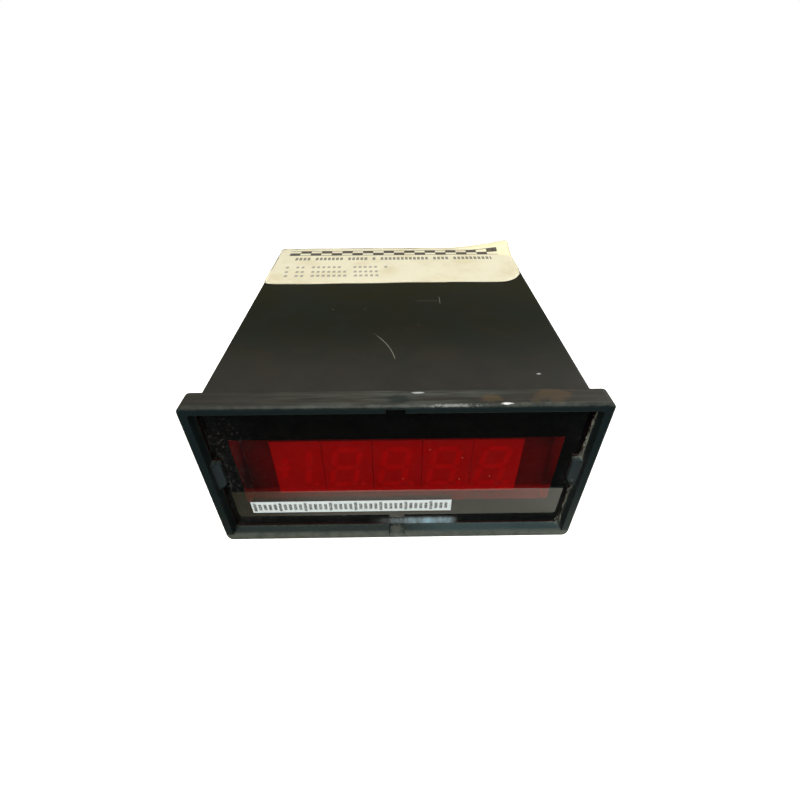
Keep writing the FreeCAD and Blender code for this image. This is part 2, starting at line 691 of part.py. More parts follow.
def terminal_clamp(x):
    """The square clamp plate under a terminal screw's head."""
    half = clamp_size / 2
    plate = block((x - half, x + half), (tab_rear_y, clamp_rear_y), (terminal_z - half, terminal_z + half))
    return plate.cut(
        round_bar(TERMINAL_SCREW_RADIUS + RUNNING_CLEARANCE, x, terminal_z, (tab_rear_y, clamp_rear_y))
    )


def terminal_screw(x):
    """A terminal screw, driven from the rear."""
    head_y = (clamp_rear_y, clamp_rear_y + TERMINAL_HEAD_HEIGHT)
    head = round_bar(TERMINAL_HEAD_RADIUS, x, terminal_z, head_y)
    shank = round_bar(TERMINAL_SCREW_RADIUS, x, terminal_z, (clamp_rear_y - TERMINAL_SCREW_LENGTH, clamp_rear_y))
    half = TERMINAL_SLOT_WIDTH / 2
    slot_x = (x - TERMINAL_HEAD_RADIUS, x + TERMINAL_HEAD_RADIUS)
    slot = block(slot_x, (head_y[1] - TERMINAL_SLOT_DEPTH, head_y[1]), (terminal_z - half, terminal_z + half))
    return head.fuse(shank).cut(slot)


def make_transformer_core():
    """The stack of steel sheets, with the two windows that the winding fills."""
    left = transformer_x - core_width / 2
    stack_y = (transformer_y - CORE_STACK / 2, transformer_y + CORE_STACK / 2)
    core = block((left, left + core_width), stack_y, (board_top_z, board_top_z + CORE_HEIGHT))
    window_z = (board_top_z + CORE_LIMB, board_top_z + CORE_HEIGHT - CORE_LIMB)
    for window_left in (left + CORE_LIMB, left + 3 * CORE_LIMB + core_window):
        core = core.cut(block((window_left, window_left + core_window), stack_y, window_z))
    return core


def coil_former(grow, z):
    """A block round the core's middle limb, this much larger than the limb."""
    half_x = CORE_LIMB + grow
    half_y = CORE_STACK / 2 + grow
    former_x = (transformer_x - half_x, transformer_x + half_x)
    return block(former_x, (transformer_y - half_y, transformer_y + half_y), z)


def make_transformer_bobbin():
    """The moulded bobbin: a tube, two flanges and the two feet that hold its pins."""
    low = board_top_z + CORE_LIMB
    high = board_top_z + CORE_HEIGHT - CORE_LIMB
    bobbin = coil_former(BOBBIN_WALL, (low, high))
    bobbin = bobbin.fuse(coil_former(winding_reach, (low, low + BOBBIN_WALL)))
    bobbin = bobbin.fuse(coil_former(winding_reach, (high - BOBBIN_WALL, high)))
    foot = coil_former(winding_reach, (board_top_z, low + BOBBIN_WALL))
    core_zone = block(
        (transformer_x - core_width, transformer_x + core_width),
        (transformer_y - CORE_STACK / 2, transformer_y + CORE_STACK / 2),
        (board_top_z, low),
    )
    bobbin = bobbin.fuse(foot.cut(core_zone))
    return bobbin.cut(coil_former(0, (board_top_z, high))).removeSplitter()


def make_transformer_winding():
    """The taped winding between the bobbin's flanges."""
    low = board_top_z + CORE_LIMB + BOBBIN_WALL
    high = board_top_z + CORE_HEIGHT - CORE_LIMB - BOBBIN_WALL
    coil = coil_former(winding_reach, (low, high))
    coil = coil.makeFillet(WINDING_CORNER, edges_along(coil, vector(0, 0, 1)))
    return coil.cut(coil_former(BOBBIN_WALL, (low, high)))


def chip_leg_places():
    return [(i - (CHIP_LEGS_PER_SIDE - 1) / 2) * CHIP_LEG_PITCH for i in range(CHIP_LEGS_PER_SIDE)]


def chip_half_length():
    return (CHIP_LEGS_PER_SIDE - 1) * CHIP_LEG_PITCH / 2 + CHIP_END


def make_converter_chip():
    """The converter chip's moulded body, with its end notch."""
    half = chip_half_length()
    bottom = board_top_z + SOCKET_HEIGHT + CHIP_LIFT
    body = block(
        (-half, half),
        (chip_y - CHIP_WIDTH / 2, chip_y + CHIP_WIDTH / 2),
        (bottom, bottom + CHIP_HEIGHT),
    )
    notch_z = (bottom + CHIP_HEIGHT / 2, bottom + CHIP_HEIGHT)
    return body.cut(upright(CHIP_NOTCH_RADIUS, -half, chip_y, notch_z))


def make_chip_legs():
    """The chip's legs, standing in the socket's rails."""
    legs = []
    half = CHIP_LEG_WIDTH / 2
    socket_top = board_top_z + SOCKET_HEIGHT
    for x in chip_leg_places():
        for side in (-1, 1):
            inner = chip_y + side * CHIP_WIDTH / 2
            leg_y = sorted((inner, inner + side * CHIP_LEG_THICKNESS))
            leg_z = (socket_top, socket_top + CHIP_LIFT + CHIP_HEIGHT / 2)
            legs.append(block((x - half, x + half), leg_y, leg_z))
    return Part.makeCompound(legs)


def make_chip_socket():
    """The chip's socket: two rails joined by three bars."""
    half = chip_half_length()
    socket_z = (board_top_z, board_top_z + SOCKET_HEIGHT)
    outer = CHIP_WIDTH / 2 + SOCKET_RAIL / 2
    frame = block((-half, half), (chip_y - outer, chip_y + outer), socket_z)
    inner = CHIP_WIDTH / 2 - SOCKET_RAIL / 2
    opening = (2 * half - 3 * SOCKET_BAR) / 2
    for left in (-half + SOCKET_BAR, SOCKET_BAR / 2):
        frame = frame.cut(block((left, left + opening), (chip_y - inner, chip_y + inner), socket_z))
    return frame


def make_smoothing_capacitors():
    """The two sleeved cans that stand on the main board."""
    big_z = (board_top_z, board_top_z + BIG_CAPACITOR_HEIGHT)
    small_z = (board_top_z, board_top_z + SMALL_CAPACITOR_HEIGHT)
    big = upright(BIG_CAPACITOR_RADIUS, big_capacitor_x, big_capacitor_y, big_z)
    small = upright(SMALL_CAPACITOR_RADIUS, small_capacitor_x, small_capacitor_y, small_z)
    return Part.makeCompound([big, small])


def make_film_capacitors():
    """The dipped film capacitors, in a row between the trimmers."""
    width, depth, height = FILM_SIZE
    front = display_rear_y + FILM_GAP
    capacitors = []
    for index in range(FILM_COUNT):
        x = (index - (FILM_COUNT - 1) / 2) * FILM_PITCH
        can = block(
            (x - width / 2, x + width / 2),
            (front, front + depth),
            (board_top_z, board_top_z + height),
        )
        edges = [e for e in can.Edges if e.BoundBox.ZMax > board_top_z + height / 2]
        capacitors.append(can.makeChamfer(FILM_BEVEL, edges))
    return Part.makeCompound(capacitors)


def resistor(x, y):
    """A resistor lying on the board, with its two bent leads."""
    z = board_top_z + RESISTOR_RADIUS
    start = vector(x - RESISTOR_BODY_LENGTH / 2, y, z)
    body = Part.makeCylinder(RESISTOR_RADIUS, RESISTOR_BODY_LENGTH, start, vector(1, 0, 0))
    reach = RESISTOR_SPAN / 2
    lead = RESISTOR_LEAD
    body = body.fuse(block((x - reach, x + reach), (y - lead, y + lead), (z - lead, z + lead)))
    for side in (-1, 1):
        leg_x = x + side * (reach - lead)
        body = body.fuse(block((leg_x - lead, leg_x + lead), (y - lead, y + lead), (board_top_z, z + lead)))
    return body.removeSplitter()


def make_resistors():
    solids = []
    x = trimmer_x + TRIMMER_WIDTH / 2 + RESISTOR_GAP + RESISTOR_SPAN / 2
    for row in range(RESISTOR_ROWS):
        y = display_rear_y + RESISTOR_START + row * RESISTOR_PITCH
        solids += [resistor(-x, y), resistor(x, y)]
    return Part.makeCompound(solids)


def make_bridge_rectifier():
    """The round rectifier, standing on its four leads."""
    bottom = board_top_z + RECTIFIER_STAND
    body = upright(RECTIFIER_RADIUS, rectifier_x, rectifier_y, (bottom, bottom + RECTIFIER_HEIGHT))
    reach = RECTIFIER_RADIUS / 2
    lead = RECTIFIER_LEAD
    for dx, dy in four_corners(reach, reach):
        x = rectifier_x + dx
        y = rectifier_y + dy
        body = body.fuse(block((x - lead, x + lead), (y - lead, y + lead), (board_top_z, bottom)))
    return body.removeSplitter()


def make_heat_sink():
    """The folded aluminium heat sink behind the regulator."""
    half = SINK_WIDTH / 2
    sink_z = (board_top_z, board_top_z + SINK_HEIGHT)
    sink = block((sink_x - half, sink_x + half), (sink_y, sink_y + SINK_DEPTH), sink_z)
    inner = half - SINK_METAL
    hollow = block((sink_x - inner, sink_x + inner), (sink_y - SINK_METAL, sink_y + SINK_DEPTH - SINK_METAL), sink_z)
    return sink.cut(hollow)


def make_regulator():
    """The regulator: moulded body, metal tab and three legs."""
    tab_back = sink_y + SINK_DEPTH - SINK_METAL
    half = REGULATOR_WIDTH / 2
    bottom = board_top_z + REGULATOR_STAND
    top = bottom + REGULATOR_BODY_HEIGHT
    body = block((sink_x - half, sink_x + half), (tab_back - REGULATOR_DEPTH, tab_back), (bottom, top))
    tab_y = (tab_back - REGULATOR_TAB_THICKNESS, tab_back)
    body = body.fuse(block((sink_x - half, sink_x + half), tab_y, (top, top + REGULATOR_TAB_HEIGHT)))
    hole_z = top + REGULATOR_TAB_HEIGHT / 2
    body = body.cut(round_bar(REGULATOR_HOLE, sink_x, hole_z, tab_y))
    leg = REGULATOR_LEG / 2
    leg_y = tab_back - REGULATOR_DEPTH / 2
    for index in (-1, 0, 1):
        x = sink_x + index * REGULATOR_LEG_PITCH
        body = body.fuse(block((x - leg, x + leg), (leg_y - leg, leg_y + leg), (board_top_z, bottom)))
    return body.removeSplitter()


def all_pieces():
    pieces = {
        "case": make_case(),
        "rear_cover": make_rear_cover(),
        "cover_screws": make_cover_screws(),
        "lens": make_lens(),
        "lens_mask": make_lens_mask(),
        "name_strip": make_name_strip(),
        "rating_label": make_rating_label(),
        "display_board": make_display_board(),
        "link_header": make_link_header(),
        "link_pins": make_link_pins(),
        "main_board": make_main_board(),
        "zero_trimmer_body": trimmer_body(-1),
        "zero_trimmer_screw": trimmer_screw(-1),
        "span_trimmer_body": trimmer_body(1),
        "span_trimmer_screw": trimmer_screw(1),
        "power_terminal_block": terminal_block(power_left, power_width, POWER_POLES),
        "signal_terminal_block": terminal_block(signal_left, signal_width, SIGNAL_POLES),
        "terminal_tabs": make_terminal_tabs(),
        "transformer_core": make_transformer_core(),
        "transformer_bobbin": make_transformer_bobbin(),
        "transformer_winding": make_transformer_winding(),
        "converter_chip": make_converter_chip(),
        "chip_legs": make_chip_legs(),
        "chip_socket": make_chip_socket(),
        "smoothing_capacitors": make_smoothing_capacitors(),
        "film_capacitors": make_film_capacitors(),
        "resistors": make_resistors(),
        "bridge_rectifier": make_bridge_rectifier(),
        "heat_sink": make_heat_sink(),
        "regulator": make_regulator(),
    }
    for number in range(1, DIGIT_COUNT + 1):
        pieces[f"digit_body_{number}"] = make_digit_body(number)
        pieces[f"digit_segments_{number}"] = make_segments(number)
    for number, x in enumerate(pole_places(), start=1):
        pieces[f"terminal_clamp_{number}"] = terminal_clamp(x)
        pieces[f"terminal_screw_{number}"] = terminal_screw(x)
    return pieces


os.makedirs("parts", exist_ok=True)
for node, shape in all_pieces().items():
    shape.exportStep(f"parts/{node}.step")
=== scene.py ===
import math
import random

import bmesh
import bpy
from mathutils import Matrix, Vector


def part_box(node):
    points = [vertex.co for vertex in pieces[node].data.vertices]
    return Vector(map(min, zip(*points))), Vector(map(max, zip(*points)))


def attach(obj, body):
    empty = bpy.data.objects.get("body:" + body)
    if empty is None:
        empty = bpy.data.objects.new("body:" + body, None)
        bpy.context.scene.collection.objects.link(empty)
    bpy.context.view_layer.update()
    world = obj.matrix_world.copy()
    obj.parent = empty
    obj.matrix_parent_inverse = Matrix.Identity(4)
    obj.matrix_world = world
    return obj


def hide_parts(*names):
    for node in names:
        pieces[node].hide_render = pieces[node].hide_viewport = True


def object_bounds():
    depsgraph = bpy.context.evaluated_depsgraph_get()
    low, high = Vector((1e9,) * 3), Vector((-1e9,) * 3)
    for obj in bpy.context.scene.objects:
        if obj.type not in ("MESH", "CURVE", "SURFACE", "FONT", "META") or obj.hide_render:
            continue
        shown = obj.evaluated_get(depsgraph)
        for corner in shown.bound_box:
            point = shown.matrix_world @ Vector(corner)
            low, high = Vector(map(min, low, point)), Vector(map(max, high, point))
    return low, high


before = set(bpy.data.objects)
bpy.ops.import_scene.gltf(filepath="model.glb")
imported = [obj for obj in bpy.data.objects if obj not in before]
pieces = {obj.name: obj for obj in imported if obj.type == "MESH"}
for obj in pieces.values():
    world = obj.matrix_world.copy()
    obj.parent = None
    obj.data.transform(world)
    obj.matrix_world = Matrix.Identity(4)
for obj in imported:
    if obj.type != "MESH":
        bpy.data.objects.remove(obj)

# Digital panel meter. Metres and the frame's own axes: X right, Y into the panel, Z up.
# Places inside the materials are in millimetres.
MM = 0.001
cad_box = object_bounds()
scene = bpy.context.scene
scene.view_settings.view_transform = "Standard"


# ---------------------------------------------------------------- moulded case
# One black thermoplastic moulding: a tube with a flange in front. Its top has faded to a brownish film, and
# painted warm light makes what faces up lighter. The flange's front edge is rubbed pale, with a painted
# highlight along it and along the lower rim. The lit inner side walls, a bluish sheen on the ledge and a
# shadow above the top notch are painted. The lens's groove holds dust.

CASE_BLACK = (0.0042, 0.0088, 0.0096, 1)
# the faded colours also carry painted warm light: up-facing faces lighter and browner, most at the front
FADED_AND_LIT_FLANGE = (0.021, 0.019, 0.0150, 1)
FADED_AND_LIT_FRONT = (0.0215, 0.0200, 0.0160, 1)
FADED_AND_LIT_MIDDLE = (0.0075, 0.0078, 0.0036, 1)
FADED_AND_LIT_REAR = (0.0100, 0.0096, 0.0030, 1)
BROWN_CLOUD = (0.0220, 0.0145, 0.0115, 1)
LEDGE_FILM = (0.016, 0.024, 0.023, 1)
# bluish painted reflection on the ledge's right-hand part
LEDGE_SHEEN_RIGHT = (0.030, 0.049, 0.052, 1)
# pale edge colour: rubbed wear, and also a painted highlight on the bezel's front edges
RUBBED_EDGE_AND_HIGHLIGHT = (0.070, 0.078, 0.066, 1)
LUG_GREY = (0.019, 0.026, 0.029, 1)
BARE_CHIP = (0.55, 0.57, 0.57, 1)
BROWN_STAIN = (0.080, 0.050, 0.022, 1)
DUST = (0.27, 0.27, 0.21, 1)
# pale painted light on the inner side walls behind the window
WALL_LIGHT_PAINT = (0.52, 0.53, 0.46, 1)
TUBE_TOP = 22.25
FLANGE_TOP = 24.0
GROOVE_REACH = 0.3


def set_inputs(tree, node, values):
    """Sets a node's inputs, or joins them where the value is a socket."""
    for key, value in values.items():
        if isinstance(value, bpy.types.NodeSocket):
            tree.links.new(value, node.inputs[key])
        else:
            node.inputs[key].default_value = value


def add(tree, kind, inputs=None, **settings):
    """Adds a node, sets its options, and sets or joins its inputs."""
    made = tree.nodes.new("ShaderNode" + kind)
    for key, value in settings.items():
        setattr(made, key, value)
    set_inputs(tree, made, inputs or {})
    return made


def maths(tree, operation, first, second=0.0):
    """One sum on values; either of them may be a socket."""
    return add(tree, "Math", {0: first, 1: second}, operation=operation).outputs[0]


def product(tree, *values):
    """Values or masks multiplied together."""
    level = values[0]
    for value in values[1:]:
        level = maths(tree, "MULTIPLY", level, value)
    return level


def highest(tree, *masks):
    """The strongest of several masks."""
    level = masks[0]
    for mask in masks[1:]:
        level = maths(tree, "MAXIMUM", level, mask)
    return level


def vectors(tree, operation, first, second=(0, 0, 0)):
    """One sum on vectors. A length or a dot product comes out as a value."""
    made = add(tree, "VectorMath", {0: first, 1: second}, operation=operation)
    return made.outputs["Value" if operation in ("LENGTH", "DOT_PRODUCT") else "Vector"]


def parts(tree, vector):
    """The three parts of a vector."""
    return add(tree, "SeparateXYZ", {0: vector}).outputs


def facing(tree):
    """The three parts of the direction that the surface faces."""
    return parts(tree, add(tree, "NewGeometry").outputs["Normal"])


def ramp(tree, value, low, high, out_low=0.0, out_high=1.0):
    """A smooth step of a value between two limits, kept inside the two results."""
    inputs = {"Value": value, "From Min": low, "From Max": high, "To Min": out_low, "To Max": out_high}
    return add(tree, "MapRange", inputs, interpolation_type="SMOOTHSTEP").outputs["Result"]


def tint(tree, amount, under, over):
    """Lays one colour over another by an amount."""
    return add(tree, "Mix", {0: amount, 6: under, 7: over}, data_type="RGBA").outputs[2]


def noise(tree, place, scale, detail, roughness=0.5):
    """A cloudy pattern of values about a half."""
    inputs = {"Vector": place, "Scale": scale, "Detail": detail, "Roughness": roughness}
    return add(tree, "TexNoise", inputs).outputs[0]


def relief(tree, height, strength, depth, under=None):
    """The normal of a fine relief of a depth in millimetres, over another normal."""
    inputs = {"Height": height, "Strength": strength, "Distance": depth * MM}
    if under is not None:
        inputs["Normal"] = under
    return add(tree, "Bump", inputs).outputs[0]


def place_mm(tree):
    """The place on the piece in millimetres, as a vector and as its three parts."""
    place = vectors(tree, "MULTIPLY", add(tree, "TexCoord").outputs["Object"], (1 / MM, 1 / MM, 1 / MM))
    x, y, z = parts(tree, place)
    return place, x, y, z


def new_group(name, inputs, outputs):
    """An empty node group with its named sockets."""
    tree = bpy.data.node_groups.new(name, "ShaderNodeTree")
    for label, kind, value in inputs:
        socket = tree.interface.new_socket(label, in_out="INPUT", socket_type="NodeSocket" + kind)
        socket.default_value = value
    for label, kind in outputs:
        tree.interface.new_socket(label, in_out="OUTPUT", socket_type="NodeSocket" + kind)
    return tree, tree.nodes.new("NodeGroupInput").outputs, tree.nodes.new("NodeGroupOutput")


def use_group(tree, group, **values):
    """Places a node group in a material with its own values."""
    made = tree.nodes.new("ShaderNodeGroup")
    made.node_tree = group
    set_inputs(tree, made, {key.capitalize(): value for key, value in values.items()})
    return made.outputs


def build_worn_edge():
    """Finds sharp outer edges, rubbed unevenly, and gives a normal that rounds them."""
    tree, given, result = new_group(
        "worn edge",
        [("Radius", "Float", 0.3 * MM), ("Wear", "Float", 0.5), ("Breakup", "Float", 1.2)],
        [("Mask", "Float"), ("Normal", "Vector")],
    )
    rounded = add(tree, "Bevel", {"Radius": given["Radius"]}, samples=8).outputs[0]
    turn = vectors(tree, "DOT_PRODUCT", rounded, add(tree, "NewGeometry").outputs["Normal"])
    edge = ramp(tree, turn, 0.995, 0.80)
    clouds = noise(tree, place_mm(tree)[0], given["Breakup"], 5.0, 0.7)
    threshold = maths(tree, "SUBTRACT", 1.0, given["Wear"])
    rubbed = ramp(tree, clouds, threshold, maths(tree, "ADD", threshold, 0.25))
    open_air = add(tree, "AmbientOcclusion", {"Distance": 1.0 * MM}, samples=4).outputs["AO"]
    outer = ramp(tree, open_air, 0.72, 0.92)
    set_inputs(tree, result, {"Mask": product(tree, edge, rubbed, outer), "Normal": rounded})
    return tree


def build_settled_dust():
    """Finds corners and grooves where dust collects, in uneven drifts."""
    tree, given, result = new_group(
        "settled dust",
        [("Reach", "Float", 1.5 * MM), ("Amount", "Float", 0.5), ("Breakup", "Float", 0.8)],
        [("Mask", "Float")],
    )
    open_air = add(tree, "AmbientOcclusion", {"Distance": given["Reach"]}, samples=6).outputs["AO"]
    corner = ramp(tree, open_air, 0.85, 0.35)
    drift = ramp(tree, noise(tree, place_mm(tree)[0], given["Breakup"], 6.0, 0.75), 0.38, 0.62)
    set_inputs(tree, result, {"Mask": product(tree, corner, drift, given["Amount"])})
    return tree


def build_specks():
    """Scattered small specks: one in some cells of a grid, each of its own size."""
    tree, given, result = new_group(
        "specks",
        [("Spacing", "Float", 2.0), ("Size", "Float", 0.1), ("Share", "Float", 0.3)],
        [("Mask", "Float")],
    )
    scale = maths(tree, "DIVIDE", 1.0, given["Spacing"])
    cells = add(tree, "TexVoronoi", {"Vector": place_mm(tree)[0], "Scale": scale})
    pick = add(tree, "SeparateColor", {0: cells.outputs["Color"]}).outputs
    reach = product(tree, given["Size"], pick[1], scale)
    inside = maths(tree, "LESS_THAN", cells.outputs["Distance"], reach)
    chosen = maths(tree, "LESS_THAN", pick[0], given["Share"])
    set_inputs(tree, result, {"Mask": product(tree, inside, chosen)})
    return tree


def build_moulded_grain():
    """The skin of a moulding: a fine spark-eroded grain over a slow unevenness."""
    tree, given, result = new_group(
        "moulded grain",
        [("Fineness", "Float", 5.0), ("Unevenness", "Float", 0.4)],
        [("Height", "Float"), ("Variation", "Float")],
    )
    place = place_mm(tree)[0]
    fine = noise(tree, place, given["Fineness"], 3.0)
    slow = noise(tree, place, 0.07, 4.0, 0.6)
    height = maths(tree, "ADD", fine, product(tree, slow, given["Unevenness"]))
    set_inputs(tree, result, {"Height": height, "Variation": slow})
    return tree


def build_soft_patch():
    """A soft-edged, ragged patch round one place, for stains, chips and rubs."""
    tree, given, result = new_group(
        "soft patch",
        [("Centre", "Vector", (0, 0, 0)), ("Size", "Vector", (1, 1, 1)), ("Ragged", "Float", 0.5),
         ("Breakup", "Float", 1.0)],
        [("Mask", "Float")],
    )
    place = place_mm(tree)[0]
    offset = vectors(tree, "SUBTRACT", place, given["Centre"])
    distance = vectors(tree, "LENGTH", vectors(tree, "DIVIDE", offset, given["Size"]))
    uneven = maths(tree, "SUBTRACT", noise(tree, place, given["Breakup"], 5.0, 0.7), 0.5)
    spread = maths(tree, "ADD", distance, product(tree, uneven, given["Ragged"], 4.0))
    set_inputs(tree, result, {"Mask": ramp(tree, spread, 1.0, 0.45)})
    return tree


def build_arc_scratch():
    """A fine scratch along part of a circle, seen from above."""
    tree, given, result = new_group(
        "arc scratch",
        [("Centre", "Vector", (0, 0, 0)), ("Radius", "Float", 20.0), ("Width", "Float", 0.1),
         ("Start", "Float", 0.0), ("End", "Float", 1.0)],
        [("Mask", "Float")],
    )
    place, _, _, height = place_mm(tree)
    flat = vectors(tree, "MULTIPLY", vectors(tree, "SUBTRACT", place, given["Centre"]), (1, 1, 0))
    x, y, _ = parts(tree, flat)
    off_line = maths(tree, "SUBTRACT", vectors(tree, "LENGTH", flat), given["Radius"])
    along = maths(tree, "SUBTRACT", maths(tree, "ARCTAN2", y, x), given["Start"])
    share = maths(tree, "DIVIDE", along, maths(tree, "SUBTRACT", given["End"], given["Start"]))
    fade_in = ramp(tree, share, 0.0, 0.35)
    fade_out = ramp(tree, share, 1.0, 0.9)
    thin = product(tree, given["Width"], maths(tree, "ADD", fade_in, 0.2))
    line = maths(tree, "LESS_THAN", maths(tree, "ABSOLUTE", off_line), thin)
    on_top = maths(tree, "GREATER_THAN", height, TUBE_TOP - 0.25)
    set_inputs(tree, result, {"Mask": product(tree, line, fade_in, fade_out, on_top)})
    return tree


worn_edge = build_worn_edge()
settled_dust = build_settled_dust()
specks = build_specks()
moulded_grain = build_moulded_grain()
soft_patch = build_soft_patch()
arc_scratch = build_arc_scratch()


def new_material(name):
    """A material with only its Principled shader and output."""
    material = bpy.data.materials.new(name)
    material.use_nodes = True
    tree = material.node_tree
    tree.nodes.clear()
    shader = add(tree, "BsdfPrincipled")
    add(tree, "OutputMaterial", {"Surface": shader.outputs[0]})
    return material, tree, shader


def finish(names, material):
    """Gives CAD pieces their material."""
    for name in names:
        for material_slot in pieces[name].material_slots:
            material_slot.material = material


def numbered(start):
    """The names of like pieces that share a start, such as digit_body_1 to digit_body_5."""
    return [name for name in pieces if name.startswith(start)]


def case_plastic():
    material, tree, shader = new_material("case plastic")
    place, x, y, z = place_mm(tree)
    side, height = maths(tree, "ABSOLUTE", x), maths(tree, "ABSOLUTE", z)
    grain = use_group(tree, moulded_grain, fineness=5.5, unevenness=0.5)

    def patch(centre, size, ragged=0.4, breakup=1.0, strength=1.0):
        mask = use_group(tree, soft_patch, centre=centre, size=size, ragged=ragged, breakup=breakup)
        return product(tree, mask["Mask"], strength)

    def scratch(centre, radius, width, start, end, strength=1.0):
        mask = use_group(tree, arc_scratch, centre=centre, radius=radius, width=width, start=start, end=end)
        return product(tree, mask["Mask"], strength)

    def cover(mask, amount, over):
        """The colour so far, with another one laid over it."""
        return tint(tree, product(tree, mask, amount), colour, over)

    # the faded film on what faces up, with painted warm light in it, lighter at the front: the ledge
    # inside, the tube's top and the flange's top
    on_flange = ramp(tree, z, FLANGE_TOP - 1.4, FLANGE_TOP - 0.4)
    faded_and_lit = tint(tree, ramp(tree, y, 0.0, 36.0), FADED_AND_LIT_FRONT, FADED_AND_LIT_MIDDLE)
    faded_and_lit = tint(tree, ramp(tree, y, 40.0, 64.0), faded_and_lit, FADED_AND_LIT_REAR)
    clouds = ramp(tree, noise(tree, place, 0.16, 5.0, 0.65), 0.42, 0.74)
    faded_and_lit = tint(tree, product(tree, clouds, ramp(tree, y, 50.0, 0.0, 0.10, 0.35)), faded_and_lit, BROWN_CLOUD)
    faded_and_lit = tint(tree, on_flange, faded_and_lit, FADED_AND_LIT_FLANGE)
    # the ledge's colour turns to a painted bluish reflection towards the right
    ledge_and_sheen = tint(tree, ramp(tree, x, 0.0, 14.0), LEDGE_FILM, LEDGE_SHEEN_RIGHT)
    faded_and_lit = tint(tree, ramp(tree, z, TUBE_TOP - 0.3, TUBE_TOP - 0.2), ledge_and_sheen, faded_and_lit)
    upward = ramp(tree, facing(tree)[2], 0.5, 0.9)
    patchy = ramp(tree, grain["Variation"], 0.25, 0.7, 0.72, 1.0)
    colour = tint(tree, product(tree, upward, patchy), CASE_BLACK, faded_and_lit)

    # streaky rubs and stains on the flange's top, and a painted shadow on it above the top notch
    streaks = noise(tree, vectors(tree, "MULTIPLY", place, (0.08, 1.3, 1.0)), 0.9, 4.0, 0.6)
    rubbed = product(tree, ramp(tree, streaks, 0.35, 0.68), on_flange, upward,
                     ramp(tree, x, -40.0, 2.0, 0.20, 1.0), ramp(tree, x, 14.0, 32.0, 1.0, 0.25))
    stains = [
        patch((34.3, -1.6, FLANGE_TOP), (6.0, 3.4, 3.0), 0.6, 0.4),
        patch((20.5, -3.0, FLANGE_TOP), (3.4, 1.8, 1.0), 0.5, 0.6),
    ]
    colour = cover(rubbed, 0.42, RUBBED_EDGE_AND_HIGHLIGHT)
    colour = cover(highest(tree, *stains), 0.32, BROWN_STAIN)
    # painted shadow: a dark patch on the flange's top above the top notch
    colour = cover(patch((0.4, -3.0, FLANGE_TOP), (3.6, 2.0, 1.0)), 0.55, CASE_BLACK)

    # painted light on the tube's side walls, seen through the window: a pale lit patch, brighter towards
    # the top
    lit_inner_wall = product(
        tree, ramp(tree, side, 42.7, 43.0), ramp(tree, side, 43.6, 43.4), ramp(tree, y, 2.6, 4.4),
        ramp(tree, y, 16.0, 13.0), ramp(tree, z, -12.0, 3.0, 0.45, 1.0), ramp(tree, z, 21.3, 20.9))
    colour = cover(lit_inner_wall, 0.95, WALL_LIGHT_PAINT)

    # rubbed edges, with a painted highlight along the top of the flange's front and along the front of the
    # lower rim
    edge = use_group(tree, worn_edge, radius=0.35 * MM, wear=0.52, breakup=1.1)
    uneven = noise(tree, place, 0.35, 6.0, 0.75)
    # painted highlight line along the flange's top front edge, over real rubbing
    line = product(tree, ramp(tree, z, FLANGE_TOP - 1.1, FLANGE_TOP - 0.4), ramp(tree, y, -4.5, -4.95),
                   ramp(tree, uneven, 0.38, 0.64, 0.12, 0.90), ramp(tree, x, -30.0, 15.0, 0.20, 0.48))
    colour = tint(tree, highest(tree, line, product(tree, edge["Mask"], 0.45)), colour, RUBBED_EDGE_AND_HIGHLIGHT)
    # painted highlight streak along the lower rim's front edge, over real rubbing
    lower_rim_highlight = product(tree, ramp(tree, z, -21.0, -21.9), ramp(tree, y, -4.2, -5.0),
                        ramp(tree, uneven, 0.30, 0.60, 0.45, 1.0))
    colour = cover(lower_rim_highlight, 0.75, RUBBED_EDGE_AND_HIGHLIGHT)

    # dust in the lens's recess, thickest at the right, and grey lugs
    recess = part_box("lens")[1] / MM + Vector((GROOVE_REACH, 0, GROOVE_REACH))
    in_recess = product(
        tree, ramp(tree, side, recess.x + 0.1, recess.x), ramp(tree, height, recess.z + 0.1, recess.z),
        ramp(tree, y, 2.0, -0.5), ramp(tree, y, -5.45, -5.2))
    lug = product(tree, ramp(tree, side, recess.x - 0.1, recess.x - 0.3), ramp(tree, height, 4.0, 3.6))
    colour = cover(product(tree, lug, in_recess), 0.6, LUG_GREY)
    drifts_here = use_group(tree, settled_dust, reach=1.6 * MM, amount=0.55, breakup=1.1)["Mask"]
    drifts_here = product(tree, drifts_here, ramp(tree, x, 40.0, 45.0, 0.2, 0.8))
    fine_dust = ramp(tree, noise(tree, place, 3.4, 3.0, 0.7), 0.50, 0.72, 0.0, 0.10)
    off_lug = maths(tree, "SUBTRACT", 1.0, product(tree, lug, 0.85))
    groove = product(tree, maths(tree, "ADD", drifts_here, fine_dust), in_recess, off_lug)
    film = product(tree, use_group(tree, specks, spacing=3.2, size=0.35, share=0.10)["Mask"], 0.12)
    notch = patch((-0.3, -3.6, -22.6), (2.6, 2.6, 1.3), 0.7, 1.6, 0.16)
    loose = highest(tree, groove, film, notch)
    colour = tint(tree, loose, colour, DUST)

